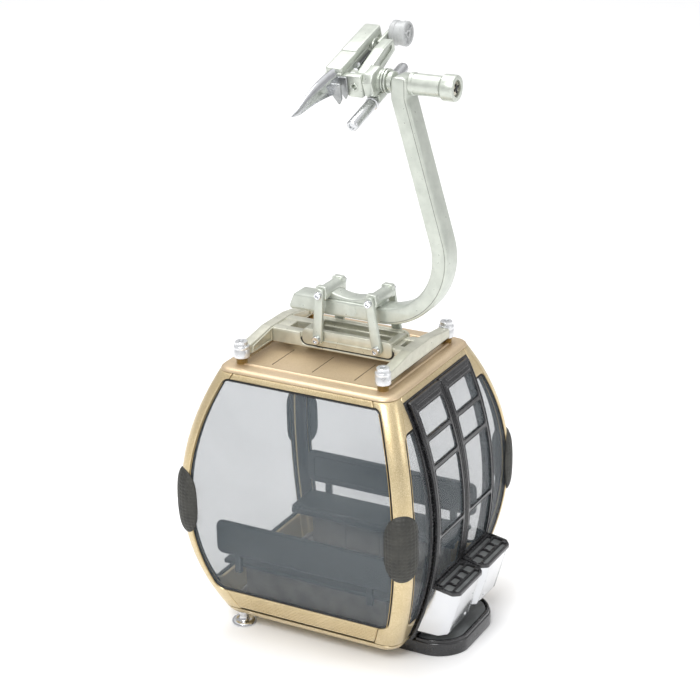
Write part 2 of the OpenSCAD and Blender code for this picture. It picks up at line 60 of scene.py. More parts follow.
X, Y, Z = 0, 1, 2
MID_Y = (low("roof_panel", Y) + high("roof_panel", Y)) / 2


def span(node, axis):
    """Start and end of a node along an axis, with y counted from the cabin's middle."""
    middle = MID_Y if axis == Y else 0
    return low(node, axis) - middle, high(node, axis) - middle


RECESS = 0.3
STEM_TOP = 1.7
BELT = (low("bumpers", Z) + high("bumpers", Z)) / 2
HALF_L = high("end_windows", X) + RECESS
HALF_W = span("back_window", Y)[1] + RECESS
FLOOR = low("floor_pan", Z)
FLOOR_TOP = high("floor_pan", Z)
ROOF = high("roof_stems", Z) - STEM_TOP
HEAD_TOP = high("end_headers", Z)
HEAD = low("end_headers", Z)
SILL = high("end_sills", Z)
POST = 3.8
CORNER = 3.9
ARC = CORNER * math.pi / 2
FADE = 0.7


def spaced(start, end, steps):
    """Values in even steps from start to end."""
    return [start + (end - start) * i / steps for i in range(steps + 1)]


def arc_radius(sag, rise):
    return (sag * sag + rise * rise) / (2 * sag)


END_R = arc_radius(HALF_L - high("roof_panel", X), HEAD_TOP - BELT)
SIDE_R = arc_radius(HALF_W - span("roof_panel", Y)[1], HEAD_TOP - BELT)


def end_at(z):
    return HALF_L - END_R + math.sqrt(END_R ** 2 - (z - BELT) ** 2)


def side_at(z):
    return HALF_W - SIDE_R + math.sqrt(SIDE_R ** 2 - (z - BELT) ** 2)


def share(t):
    """How much of the body's narrowing a point takes at a share t of the belt's half width."""
    t = min(t / FADE, 1)
    return t * t * (3 - 2 * t)


def side_s(x):
    """Quarter-wall coordinate of a place x on the side, at the belt."""
    return HALF_W - CORNER + ARC + HALF_L - CORNER - x


def wall_point(s, z, w):
    """Point of the cabin's wall: s runs round a quarter from the end's middle to the side's, w is depth."""
    a, b = end_at(z), side_at(z)
    flat = HALF_W - CORNER
    if s <= flat:
        return a - w, s - (HALF_W - b) * share(s / HALF_W), z
    if s <= flat + ARC:
        turn = (s - flat) / CORNER
        r = CORNER - w
        return a - CORNER + r * math.cos(turn), b - CORNER + r * math.sin(turn), z
    x = HALF_L - CORNER - (s - flat - ARC)
    return x - (HALF_L - a) * share(x / HALF_L), b - w, z


def on_end(sx):
    def place(u, z, w):
        x, y, z = wall_point(abs(u), z, w)
        return sx * x, math.copysign(y, u), z
    return place


def on_side(sy):
    def place(u, z, w):
        x, y, z = wall_point(side_s(abs(u)), z, w)
        return math.copysign(x, u), sy * y, z
    return place


def on_corner(sx, sy):
    def place(s, z, w):
        x, y, z = wall_point(s, z, w)
        return sx * x, sy * y, z
    return place


def belt_x(x, z):
    """The belt's x that narrows to x at height z."""
    lo, hi = x, x + HALF_L - end_at(z)
    for _ in range(30):
        mid = (lo + hi) / 2
        if mid - (HALF_L - end_at(z)) * share(mid / HALF_L) < x:
            lo = mid
        else:
            hi = mid
    return lo


# ---- Shapes: lists of points and faces in millimetres, about the cabin's middle ----

def rounded(points, steps=5):
    """Outline with a round of its third value at each corner."""
    out = []
    n = len(points)
    for i, (x, y, r) in enumerate(points):
        p = Vector((x, y))
        if r <= 0:
            out.append((x, y))
            continue
        a = (Vector(points[i - 1][:2]) - p).normalized()
        b = (Vector(points[(i + 1) % n][:2]) - p).normalized()
        half = a.angle(b) / 2
        reach = r / math.tan(half)
        centre = p + (a + b).normalized() * (r / math.sin(half))
        start = p + a * reach - centre
        end = p + b * reach - centre
        turn = start.angle_signed(end)
        for k in range(steps + 1):
            v = start.copy()
            v.rotate(Matrix.Rotation(-turn * k / steps, 2))
            out.append(tuple(centre + v))
    return out


def box_outline(x0, x1, y0, y1, r=0.0, steps=5):
    return rounded([(x0, y0, r), (x1, y0, r), (x1, y1, r), (x0, y1, r)], steps)


def circle(x, y, r, n=24):
    turns = [2 * math.pi * i / n for i in range(n)]
    return [(x + r * math.cos(t), y + r * math.sin(t)) for t in turns]


def area(loop):
    return sum(a[0] * b[1] - b[0] * a[1] for a, b in zip(loop, loop[1:] + loop[:1])) / 2


def inset(loop, d):
    """The loop moved to its left by d."""
    out = []
    n = len(loop)
    for i in range(n):
        p = Vector(loop[i])
        a = (p - Vector(loop[i - 1])).normalized()
        b = (Vector(loop[(i + 1) % n]) - p).normalized()
        na, nb = Vector((-a.y, a.x)), Vector((-b.y, b.x))
        m = na + nb
        out.append(tuple(p + m * (2 * d / max(m.length_squared, 0.4))))
    return out


def clean(loop):
    """The loop without points that coincide."""
    out = []
    for p in loop:
        if not out or (Vector(p) - Vector(out[-1])).length > 1e-4:
            out.append(p)
    while (Vector(out[0]) - Vector(out[-1])).length < 1e-4:
        out.pop()
    return out


def anticlockwise(outline):
    """The cleaned outline, run anticlockwise."""
    loop = clean(outline)
    return loop if area(loop) > 0 else loop[::-1]


def panel(outline, thick, edge=0.2, back_edge=0.1, holes=(), steps=3, w0=0.0):
    """Plate in (u, v) with round edges, from depth w0 to w0 + thick."""
    loops = [anticlockwise(outline)] + [anticlockwise(h)[::-1] for h in holes]
    turns = spaced(0, math.pi / 2, steps)
    levels = [(edge * (1 - math.sin(t)), w0 + edge * (1 - math.cos(t))) for t in turns]
    levels += [(back_edge * (1 - math.cos(t)), w0 + thick - back_edge * (1 - math.sin(t))) for t in turns]
    verts, faces = [], []
    count = sum(len(l) for l in loops)
    for d, w in levels:
        for l in loops:
            verts += [(u, v, w) for u, v in inset(l, d)]
    start = 0
    for l in loops:
        n = len(l)
        for k in range(len(levels) - 1):
            for i in range(n):
                a, b = k * count + start + i, k * count + start + (i + 1) % n
                faces.append((a, b, b + count, a + count))
        start += n
    for first in (0, (len(levels) - 1) * count):
        flat, start = [], first
        for l in loops:
            flat.append([Vector((u, v, 0)) for u, v, w in verts[start:start + len(l)]])
            start += len(l)
        faces += [tuple(first + i for i in tri) for tri in tessellate_polygon(flat)]
    return verts, faces


def cut_up(shape, du=2.0, dv=1.6):
    """The shape cut along a lattice, so that it bends smoothly."""
    bm = to_bmesh(shape)
    for axis, step in ((0, du), (1, dv)):
        values = [v.co[axis] for v in bm.verts]
        lo, hi = min(values), max(values)
        cuts = int((hi - lo) / step)
        normal = Vector((1, 0, 0)) if axis == 0 else Vector((0, 1, 0))
        for i in range(1, cuts + 1):
            at = normal * (lo + (hi - lo) * i / (cuts + 1))
            bmesh.ops.bisect_plane(bm, geom=bm.verts[:] + bm.edges[:] + bm.faces[:], dist=1e-5,
                                   plane_co=at, plane_no=normal)
    return from_bmesh(bm)


def to_bmesh(shape):
    bm = bmesh.new()
    verts = [bm.verts.new(v) for v in shape[0]]
    for f in shape[1]:
        if len(set(f)) == len(f):
            try:
                bm.faces.new([verts[i] for i in f])
            except ValueError:
                pass
    return bm


def from_bmesh(bm):
    bm.verts.index_update()
    shape = [tuple(v.co) for v in bm.verts], [tuple(v.index for v in f.verts) for f in bm.faces]
    bm.free()
    return shape


def mapped(shape, place):
    return [place(*v) for v in shape[0]], shape[1]


def moved(shape, x=0.0, y=0.0, z=0.0):
    return [(a + x, b + y, c + z) for a, b, c in shape[0]], shape[1]


def mirrored(shape, sx):
    return [(sx * a, b, c) for a, b, c in shape[0]], shape[1]


def both(*shapes):
    """The shapes as built at +X, and mirrored to -X."""
    return joined([mirrored(shape, sx) for shape in shapes for sx in (1, -1)])


def joined(shapes):
    verts, faces = [], []
    for v, f in shapes:
        faces += [tuple(i + len(verts) for i in face) for face in f]
        verts += v
    return verts, faces


def loft(loops, close=True):
    """Skin over loops of as many points each, with one face over each end."""
    n = len(loops[0])
    verts = [p for l in loops for p in l]
    faces = []
    for k in range(len(loops) - 1):
        for i in range(n):
            a, b = k * n + i, k * n + (i + 1) % n
            faces.append((a, b, b + n, a + n))
    if close:
        for k in (0, len(loops) - 1):
            faces.append(tuple(range(k * n, k * n + n)))
    return verts, faces


def ring(hx, hy, r, z, steps=6):
    return [(x, y, z) for x, y in box_outline(-hx, hx, -hy, hy, max(r, 0.05), steps)]


def lathe(profile, n=40):
    """Turned shape about Z from [radius, height] pairs."""
    return loft([[(x, y, z) for x, y in circle(0, 0, r, n)] for r, z in profile])


def along_x(shape):
    """A shape about Z laid along X, its height becoming x."""
    return [(c, a, b) for a, b, c in shape[0]], shape[1]


def along_y(shape):
    """A shape about Z laid along Y, its height becoming y."""
    return [(a, c, b) for a, b, c in shape[0]], shape[1]


def across_x(x0, x1, outline, edge=0.2, holes=()):
    """Plate from an outline in (y, z), between two x."""
    return mapped(panel(outline, x1 - x0, edge, edge, holes), lambda u, v, w: (x0 + w, u, v))


def across_y(y0, y1, outline, edge=0.2, holes=()):
    """Plate from an outline in (x, z), between two y."""
    return mapped(panel(outline, y1 - y0, edge, edge, holes), lambda u, v, w: (u, y0 + w, v))


def up_z(z0, z1, outline, edge=0.2, holes=(), back_edge=None):
    """Plate from an outline in (x, y), between two z; edge rounds its top."""
    back = edge if back_edge is None else back_edge
    return mapped(panel(outline, z1 - z0, edge, back, holes), lambda u, v, w: (u, v, z1 - w))


def block(x0, x1, y0, y1, z0, z1, edge=0.2, r=0.0):
    return up_z(z0, z1, box_outline(x0, x1, y0, y1, r), edge)


PITCH = math.radians(17)
PIVOT_Z = (low("axle_cap", Z) + high("axle_cap", Z)) / 2
HEAD_Y = span("axle_sleeve", Y)[1] + 2.15


def on_grip(x, y, z):
    """Point of the grip's own level frame, in the cabin's."""
    c, s = math.cos(PITCH), math.sin(PITCH)
    return x * c - z * s, y + HEAD_Y, x * s + z * c + PIVOT_Z


def piece(name, shape, material, body="cabin", nodes=(), smooth=38):
    """Makes the shape one Blender piece that rides on a body and stands for its CAD nodes."""
    bm = to_bmesh(shape)
    bmesh.ops.recalc_face_normals(bm, faces=bm.faces[:])
    for v in bm.verts:
        v.co = Vector((v.co.x, v.co.y + MID_Y, v.co.z)) * MM
    mesh = bpy.data.meshes.new(name)
    bm.to_mesh(mesh)
    bm.free()
    mesh.shade_smooth()
    mesh.set_sharp_from_angle(angle=math.radians(smooth))
    obj = bpy.data.objects.new(name, mesh)
    bpy.context.scene.collection.objects.link(obj)
    mesh.materials.append(MATERIAL[material])
    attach(obj, body)
    if nodes:
        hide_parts(*nodes)
    return obj


# ---- Materials ----


def set_stops(node, stops):
    """Gives a colour ramp its stops, as pairs of a place and a colour."""
    elements = node.color_ramp.elements
    while len(elements) < len(stops):
        elements.new(0.5)
    for element, (at, colour) in zip(elements, stops):
        element.position = at
        element.color = (*colour, 1)


class Nodes:
    """A material's node tree with short ways to add to it."""

    def __init__(self, name):
        self.material = bpy.data.materials.new(name)
        self.material.use_nodes = True
        self.tree = self.material.node_tree
        self.shader = self.tree.nodes["Principled BSDF"]
        self.where = self.tree.nodes.new("ShaderNodeTexCoord")
        MATERIAL[name] = self.material

    def link(self, a, b):
        self.tree.links.new(a, b)

    def set(self, **values):
        for key, value in values.items():
            self.shader.inputs[key.replace("_", " ")].default_value = value

    def noise(self, scale, detail=4.0, rough=0.55, stretch=(1, 1, 1)):
        """Noise whose features are about 1 / scale metres, on the object's own coordinates."""
        mapping = self.tree.nodes.new("ShaderNodeMapping")
        mapping.inputs["Scale"].default_value = stretch
        self.link(self.where.outputs["Object"], mapping.inputs["Vector"])
        node = self.tree.nodes.new("ShaderNodeTexNoise")
        node.inputs["Scale"].default_value = scale
        node.inputs["Detail"].default_value = detail
        node.inputs["Roughness"].default_value = rough
        self.link(mapping.outputs["Vector"], node.inputs["Vector"])
        return node.outputs["Fac"]

    def ramp(self, fac, stops):
        node = self.tree.nodes.new("ShaderNodeValToRGB")
        set_stops(node, stops)
        self.link(fac, node.inputs["Fac"])
        return node.outputs["Color"]

    def range(self, fac, lo, hi):
        """The noise's middle values, spread from lo to hi."""
        node = self.tree.nodes.new("ShaderNodeMapRange")
        for key, value in (("From Min", 0.3), ("From Max", 0.7), ("To Min", lo), ("To Max", hi)):
            node.inputs[key].default_value = value
        self.link(fac, node.inputs["Value"])
        return node.outputs["Result"]

    def mix(self, share_b, a, b):
        node = self.tree.nodes.new("ShaderNodeMix")
        node.data_type = "RGBA"
        node.inputs["Factor"].default_value = share_b
        self.link(a, node.inputs["A"])
        self.link(b, node.inputs["B"])
        return node.outputs["Result"]

    def bump(self, height, strength, depth):
        node = self.tree.nodes.new("ShaderNodeBump")
        node.inputs["Strength"].default_value = strength
        node.inputs["Distance"].default_value = depth
        self.link(height, node.inputs["Height"])
        self.link(node.outputs["Normal"], self.shader.inputs["Normal"])

    def colour(self, output):
        self.link(output, self.shader.inputs["Base Color"])

    def roughness(self, output):
        self.link(output, self.shader.inputs["Roughness"])


def metallic_paint(name, dark, base, pale, metal=0.7, rough=0.34, coat=0.35, grain=0.12):
    """Sprayed metallic paint: flakes that vary from dark to pale under a clear coat."""
    m = Nodes(name)
    flakes = m.ramp(m.noise(5200, 2, 0.7), [(0.28, dark), (0.5, base), (0.72, pale)])
    drift = m.ramp(m.noise(90, 3), [(0.3, base), (0.75, pale)])
    m.colour(m.mix(0.35, flakes, drift))
    m.roughness(m.range(m.noise(2600, 3), rough - 0.06, rough + 0.08))
    m.set(Metallic=metal, Coat_Weight=coat, Coat_Roughness=0.16)
    m.bump(m.noise(4200, 3), grain, 0.00006)


def cast_metal(name, dark, base, metal=0.75, rough=0.38, brushed=(1, 1, 1), grain=0.08):
    """Plated or satin metal with a fine grain and a little handling wear."""
    m = Nodes(name)
    m.colour(m.ramp(m.noise(380, 5, 0.6, brushed), [(0.25, dark), (0.7, base)]))
    m.roughness(m.range(m.noise(900, 4, 0.6, brushed), rough - 0.07, rough + 0.09))
    m.set(Metallic=metal)
    m.bump(m.noise(3600, 3), grain, 0.00004)


def plastic(name, dark, base, rough=0.3, coat=0.0, grain=0.06, scale=3000):
    m = Nodes(name)
    m.colour(m.ramp(m.noise(260, 4), [(0.3, dark), (0.75, base)]))
    m.roughness(m.range(m.noise(1400, 3), max(rough - 0.06, 0.04), rough + 0.07))
    m.set(Coat_Weight=coat, Coat_Roughness=0.08)
    m.bump(m.noise(scale, 3), grain, 0.00005)


def tinted_glass(name, tint, pale, alpha, rough=0.03):
    """Tinted pane, with a faint uneven tone as moulded clear plastic has."""
    m = Nodes(name)
    m.colour(m.ramp(m.noise(26, 2), [(0.35, tint), (0.7, pale)]))
    m.roughness(m.range(m.noise(60, 2), rough, rough + 0.03))
    m.set(Alpha=alpha, IOR=1.5, Coat_Weight=0.25, Coat_Roughness=0.02)
    m.bump(m.noise(45, 1), 0.05, 0.0004)


def make_materials():
    metallic_paint("gold_paint", (0.30, 0.22, 0.09), (0.56, 0.44, 0.24), (0.86, 0.74, 0.50), grain=0.3)
    metallic_paint("roof_paint", (0.46, 0.34, 0.20), (0.62, 0.48, 0.31), (0.72, 0.58, 0.41), rough=0.4,
                   coat=0.2)
    metallic_paint("gold_dark", (0.30, 0.20, 0.08), (0.45, 0.32, 0.13), (0.60, 0.46, 0.22))
    cast_metal("hanger_metal", (0.47, 0.50, 0.45), (0.58, 0.61, 0.55), metal=0.6, rough=0.34, grain=0.03)
    cast_metal("frame_metal", (0.52, 0.515, 0.43), (0.64, 0.635, 0.54), metal=0.6, rough=0.34)
    cast_metal("chrome", (0.62, 0.63, 0.65), (0.74, 0.75, 0.77), metal=1.0, rough=0.14, grain=0.03)
    cast_metal("rack_metal", (0.64, 0.65, 0.66), (0.72, 0.73, 0.75), metal=0.95, rough=0.14,
               brushed=(0.2, 0.2, 0.2), grain=0.01)
    cast_metal("cap_chrome", (0.66, 0.67, 0.68), (0.76, 0.77, 0.78), metal=0.8, rough=0.3, grain=0.03)
    cast_metal("rod_chrome", (0.52, 0.53, 0.54), (0.62, 0.63, 0.64), metal=0.9, rough=0.24, grain=0.02)
    cast_metal("steel_mid", (0.24, 0.25, 0.25), (0.38, 0.39, 0.39), metal=0.8, rough=0.3)
    cast_metal("steel_dark", (0.05, 0.05, 0.05), (0.16, 0.17, 0.17), metal=0.6, rough=0.4)
    cast_metal("screw", (0.30, 0.27, 0.20), (0.62, 0.60, 0.52), metal=0.9, rough=0.3)
    plastic("black_plastic", (0.010, 0.010, 0.011), (0.022, 0.022, 0.024), rough=0.24, coat=0.4,
            grain=0.02, scale=700)
    # Near-black rubber for the window seals and the dark grooves; also the painted shade in the axle screw's
    # cross recess.
    plastic("gasket_and_recess_shade", (0.006, 0.006, 0.007), (0.014, 0.014, 0.015), rough=0.5)
    plastic("seam", (0.05, 0.035, 0.02), (0.09, 0.065, 0.035), rough=0.7)
    cast_metal("seam_grey", (0.16, 0.17, 0.15), (0.26, 0.27, 0.24), metal=0.3, rough=0.5)
    plastic("lining", (0.02, 0.02, 0.022), (0.05, 0.05, 0.055), rough=0.45)
    # Grey plastic of the floor under the rack grids; also the platform top's painted reflection.
    plastic("grid_floor_and_painted_reflection", (0.09, 0.095, 0.095), (0.17, 0.18, 0.18), rough=0.45)
    plastic("bumper_rubber", (0.020, 0.020, 0.017), (0.045, 0.044, 0.036), rough=0.55, grain=0.2)
    plastic("seat_plastic", (0.010, 0.013, 0.014), (0.022, 0.027, 0.029), rough=0.35)
    plastic("tray_plastic", (0.17, 0.15, 0.13), (0.28, 0.25, 0.22), rough=0.45)
    plastic("roller_plastic", (0.34, 0.35, 0.35), (0.50, 0.51, 0.51), rough=0.3)
    tinted_glass("glass", (0.13, 0.16, 0.18), (0.20, 0.23, 0.25), 0.22)


# ---- Camera, floor and light ----

def make_camera():
    azimuth, elevation, roll = math.radians(-60.95), math.radians(21.86), math.radians(-1.21)
    look = Vector((0, MID_Y - 1.38, 74.03))
    distance = 494
    view = Vector((-math.sin(azimuth) * math.cos(elevation), math.cos(azimuth) * math.cos(elevation),
                   -math.sin(elevation)))
    level = Vector((math.cos(azimuth), math.sin(azimuth), 0))
    right = level * math.cos(roll) + level.cross(view) * math.sin(roll)
    up = right.cross(view)
    place = (look - view * distance) * MM
    data = bpy.data.cameras.new("camera")
    data.lens = 100.3
    data.sensor_width = 36
    data.clip_start = 0.01
    camera = bpy.data.objects.new("camera", data)
    bpy.context.scene.collection.objects.link(camera)
    camera.matrix_world = Matrix(((right.x, up.x, -view.x, place.x), (right.y, up.y, -view.y, place.y),
                                  (right.z, up.z, -view.z, place.z), (0, 0, 0, 1)))
    bpy.context.scene.camera = camera


def area_light(name, place, target, size, power, colour=(1, 1, 1)):
    data = bpy.data.lights.new(name, "AREA")
    data.shape = "DISK"
    data.size = size
    data.energy = power
    data.color = colour
    light = bpy.data.objects.new(name, data)
    bpy.context.scene.collection.objects.link(light)
    light.location = place
    light.rotation_euler = (Vector(target) - Vector(place)).to_track_quat("-Z", "Y").to_euler()


def make_stage():
    floor = bpy.data.meshes.new("floor")
    half = 2.5
    floor.from_pydata([(-half, -half, 0), (half, -half, 0), (half, half, 0), (-half, half, 0)], [],
                      [(0, 1, 2, 3)])
    obj = bpy.data.objects.new("floor", floor)
    bpy.context.scene.collection.objects.link(obj)
    m = Nodes("floor_white")
    m.colour(m.ramp(m.noise(3, 2), [(0.3, (0.93, 0.93, 0.93)), (0.7, (0.95, 0.95, 0.95))]))
    m.set(Roughness=0.5, Specular_IOR_Level=0.2)
    floor.materials.append(m.material)
    world = bpy.data.worlds.new("studio")
    bpy.context.scene.world = world
    world.use_nodes = True
    tree = world.node_tree
    where = tree.nodes.new("ShaderNodeTexCoord")
    split = tree.nodes.new("ShaderNodeSeparateXYZ")
    ramp = tree.nodes.new("ShaderNodeValToRGB")
    set_stops(ramp, [(at, (value, value, value * 1.01)) for at, value in
                     ((0.0, 0.5), (0.40, 0.45), (0.55, 0.72), (0.8, 1.0))])
    tree.links.new(where.outputs["Generated"], split.inputs["Vector"])
    tree.links.new(split.outputs["Z"], ramp.inputs["Fac"])
    tree.links.new(ramp.outputs["Color"], tree.nodes["Background"].inputs["Color"])
    tree.nodes["Background"].inputs["Strength"].default_value = 1.05
    area_light("key", (-0.60, -0.10, 0.65), (0, 0, 0.07), 0.35, 3.8)
    area_light("top", (0.1, 0.2, 0.9), (0, 0, 0.05), 0.6, 4.0)
    area_light("door_side", (0.15, -0.75, 0.35), (0, 0, 0.07), 0.3, 0.8)
    bpy.context.scene.view_settings.view_transform = "Standard"


# ---- Cabin body ----

TOP_SEAM = 28.0
LOW_SEAM = 26.8
SIDE_TOP_SEAM = 25.8
SIDE_LOW_SEAM = 24.5
SEAM_GAP = 0.09
WALL = 1.8
WIN_TOP_R = 1.2
WIN_LOW_R = 2.6
JAMB_X = 17.6
QUARTER_TOP = 64.5
CAST_LOW = FLOOR_TOP + 0.1
CAST_TOP = HEAD_TOP - 0.05
END_EDGE = HALF_W - POST
SIDE_EDGE = side_s(HALF_L - POST)
ENDS = [on_end(-1), on_end(1)]
BACK_CORNERS = [on_corner(sx, 1) for sx in (-1, 1)]
DOOR_CORNERS = [on_corner(sx, -1) for sx in (-1, 1)]


def wrap(shape, places):
    """The shape at each of the places on the wall."""
    return joined([mapped(shape, place) for place in places])


def casting_outline():
    """Outline of a casting round its corner, between the window edges of its end and of its side."""
    low_out, top_out = side_s(SIDE_LOW_SEAM), side_s(SIDE_TOP_SEAM)
    return rounded([
        (LOW_SEAM, CAST_LOW, 0.2), (low_out, CAST_LOW, 0.2), (low_out, SILL, 0.3),
                    (SIDE_EDGE, SILL, WIN_LOW_R),
        (SIDE_EDGE, HEAD, WIN_TOP_R), (top_out, HEAD, 0.1), (top_out, CAST_TOP, 0.1),
                    (TOP_SEAM, CAST_TOP, 0.1),
        (TOP_SEAM, HEAD, 0.1), (END_EDGE, HEAD, WIN_TOP_R), (END_EDGE, SILL, WIN_LOW_R),
                    (LOW_SEAM, SILL, 0.3)])


def jamb_s(z):
    return side_s(belt_x(JAMB_X, z))


def door_casting_outline():
    """A casting on the door side: its side arms end on the upright door opening."""
    low_edge = [(jamb_s(z), z, 0) for z in spaced(CAST_LOW, SILL, 6)]
    top_edge = [(jamb_s(z), z, 0) for z in spaced(QUARTER_TOP, CAST_TOP, 6)]
    return rounded([(LOW_SEAM, CAST_LOW, 0.2)] + low_edge
                   + [(SIDE_EDGE, SILL, WIN_LOW_R), (SIDE_EDGE, QUARTER_TOP, 1.6)] + top_edge
                   + [(TOP_SEAM, CAST_TOP, 0.1), (TOP_SEAM, HEAD, 0.1), (END_EDGE, HEAD, WIN_TOP_R),
                      (END_EDGE, SILL, WIN_LOW_R), (LOW_SEAM, SILL, 0.3)])


def make_castings():
    back, door = [cut_up(panel(outline, WALL, 0.45, 0.2), 0.8, 1.8)
                  for outline in (casting_outline(), door_casting_outline())]
    piece("corner_castings_cast", joined([wrap(back, BACK_CORNERS), wrap(door, DOOR_CORNERS)]), "gold_paint",
          nodes=["corner_castings"])
    # Thin dark gold strips where each corner's flat faces meet its round: painted shade for the dark crease
    # along the corner posts.
    lines = []
    for s in (HALF_W - CORNER - 0.3, HALF_W - CORNER + ARC + 0.15):
        line = box_outline(s, s + 0.14, SILL + 1, HEAD - 1)
        lines.append(cut_up(panel(line, 0.1, 0.02, 0.02, w0=-0.02), 1, 1.8))
    piece("corner_crease_shade", wrap(joined(lines), BACK_CORNERS + DOOR_CORNERS), "gold_dark")
    linings = []
    for top, places in ((HEAD, BACK_CORNERS), (QUARTER_TOP, DOOR_CORNERS)):
        outline = box_outline(END_EDGE - 0.25, SIDE_EDGE + 0.25, SILL - 0.3, top + 0.3, 0.4)
        linings.append(wrap(cut_up(panel(outline, 0.35, 0.05, 0.15, w0=WALL - 0.05), 0.8, 1.8), places))
    piece("corner_linings", joined(linings), "lining")


def rails(half, z0, z1, places):
    outline = box_outline(SEAM_GAP - half, half - SEAM_GAP, z0, z1, 0.15)
    return wrap(cut_up(panel(outline, WALL, 0.35, 0.2), 2.5, 1.2), places)


def make_rails():
    back, front = on_side(1), on_side(-1)
    z0 = FLOOR_TOP + 0.75
    for name, shape, node in (
            ("end_header_rails", rails(TOP_SEAM, HEAD, CAST_TOP, ENDS), "end_headers"),
            ("side_header_rails", rails(SIDE_TOP_SEAM, HEAD, CAST_TOP, [front, back]), "side_headers"),
            ("end_sill_panels", rails(LOW_SEAM, z0, SILL, ENDS), "end_sills"),
            ("back_sill_panel", rails(SIDE_LOW_SEAM, z0, SILL, [back]), "back_sill")):
        piece(name, shape, "gold_paint", nodes=[node])
    ribs, rib_half, pitch = [], LOW_SEAM - 0.6, 0.62
    for k in range(8):
        z = z0 + 0.45 + k * pitch
        rib = box_outline(-rib_half, rib_half, z, z + 0.33, 0.12, 3)
        ribs.append(cut_up(panel(rib, 0.3, 0.1, 0.02, w0=-0.09), 3, 2))
    piece("sill_ribs", wrap(joined(ribs), ENDS), "gold_paint")
    groove = box_outline(-LOW_SEAM, LOW_SEAM, FLOOR_TOP - 0.1, z0 + 0.4)
    piece("sill_grooves", wrap(cut_up(panel(groove, 0.9, 0.05, 0.05, w0=0.75), 3, 2), ENDS + [back]),
          "gasket_and_recess_shade")


def make_floor_and_roof():
    def level(z, back=0.0):
        return ring(end_at(z) - back, side_at(z) - back, CORNER - back * 0.5, z)
    pan = [ring(18.5, 20.5, 3, FLOOR + 0.05), level(FLOOR, 1.0), level(FLOOR + 0.15, 0.3),
           level(FLOOR + 0.6, 0.02), level(FLOOR_TOP - 0.1), level(FLOOR_TOP, 0.12), level(FLOOR_TOP, 2.2)]
    piece("floor_pan_pressed", loft(pan), "gold_paint", nodes=["floor_pan"])
    edge = HEAD_TOP + 0.05
    bead_x, bead_y = 17.6, 20.6
    rise, reach = 0.95, 1.5
    loops = [ring(end_at(edge) - 2, side_at(edge) - 2, 3, edge), level(edge)]
    for turn in spaced(0, math.pi / 2, 6)[1:]:
        back = reach * (1 - math.cos(turn))
        z = edge + rise * math.sin(turn)
        loops.append(ring(end_at(edge) - back, side_at(edge) - back, CORNER - back * 0.5, z))
    for out, z in ((0.75, 0.0), (0.62, 0.12), (0.5, 0.24), (0.3, 0.3), (0.0, 0.3), (-0.2, 0.24), (-0.32, 0.1),
                   (-0.42, -0.05), (-0.6, -0.08), (-2.0, -0.06), (-9.0, 0.0)):
        loops.append(ring(bead_x + out, bead_y + out, 2.0 + out * 0.4, ROOF + z))
    piece("roof_panel_pressed", loft(loops), "roof_paint", nodes=["roof_panel"])
    seams = [block(4.2, 15.2, y - 0.11, y + 0.11, ROOF - 0.3, ROOF + 0.015, 0.02) for y in (12.5, 1.0, -10.9)]
    piece("roof_seams", both(*seams), "seam")


def window_outline(half, gap=0.06):
    low_r, top_r = WIN_LOW_R, WIN_TOP_R
    return rounded([(gap - half, SILL + gap, low_r), (half - gap, SILL + gap, low_r),
                    (half - gap, HEAD - gap, top_r), (gap - half, HEAD - gap, top_r)], 6)


def quarter_outline(gap=0.06):
    z0, z1 = SILL + gap, QUARTER_TOP - gap
    right = HALF_L - POST - gap
    edge = [(belt_x(JAMB_X, z) + gap, z, 0) for z in spaced(z0, z1, 12)[::-1]]
    return rounded([(right, z0, WIN_LOW_R), (right, z1, 1.4)] + edge)


def window_pieces(name, outline, places, nodes, cut=2.4):
    inner = inset(anticlockwise(outline), 0.42)
    glass = cut_up(panel(outline, 0.9, 0.08, 0.08, w0=RECESS), cut, 1.8)
    piece(name + "_glass", wrap(glass, places), "glass", nodes=nodes)
    seal = cut_up(panel(outline, 0.9, 0.1, 0.05, holes=[inner], w0=RECESS - 0.12), cut, 1.8)
    piece(name + "_seals", wrap(seal, places), "gasket_and_recess_shade")


def make_windows():
    window_pieces("end_window", window_outline(END_EDGE), ENDS, ["end_windows"])
    window_pieces("back_window", window_outline(HALF_L - POST), [on_side(1)], ["back_window"])
    quarter = quarter_outline()
    window_pieces("quarter_window_right", quarter, [on_side(-1)], ["quarter_windows"], 1.5)
    window_pieces("quarter_window_left", [(-x, z) for x, z in quarter], [on_side(-1)], (), 1.5)


PAD_HALF_W = 5.2
PAD_HALF_H = 9.0
PAD_THICK = 1.05
DIMPLE_PITCH = 0.95
DIMPLE_DEEP = 0.2


def pad_point(u, v, dome):
    """Place and height of a bumper's point, from shares of its half width and half height."""
    straight = PAD_HALF_H - PAD_HALF_W
    p = u * math.sqrt(1 - v * v / 2) * PAD_HALF_W
    tall = v * math.sqrt(1 - u * u / 2)
    q = math.copysign(abs(tall) ** 0.8, tall) * PAD_HALF_H
    over = max(abs(q) - straight, 0)
    limit = PAD_HALF_W if over == 0 else math.sqrt(max(PAD_HALF_W ** 2 - over ** 2, 0))
    p = max(-limit, min(limit, p))
    if not dome:
        return p, q, 0.0
    rho = min(math.hypot(p, over) / PAD_HALF_W, 1)
    h = PAD_THICK * (1 - rho ** 3.2) ** 0.62
    if rho < 0.93:
        dimple = math.cos(math.pi * (p + q) / DIMPLE_PITCH) * math.cos(math.pi * (p - q) / DIMPLE_PITCH)
        h -= DIMPLE_DEEP * max(dimple, 0) ** 0.6
    return p, q, h


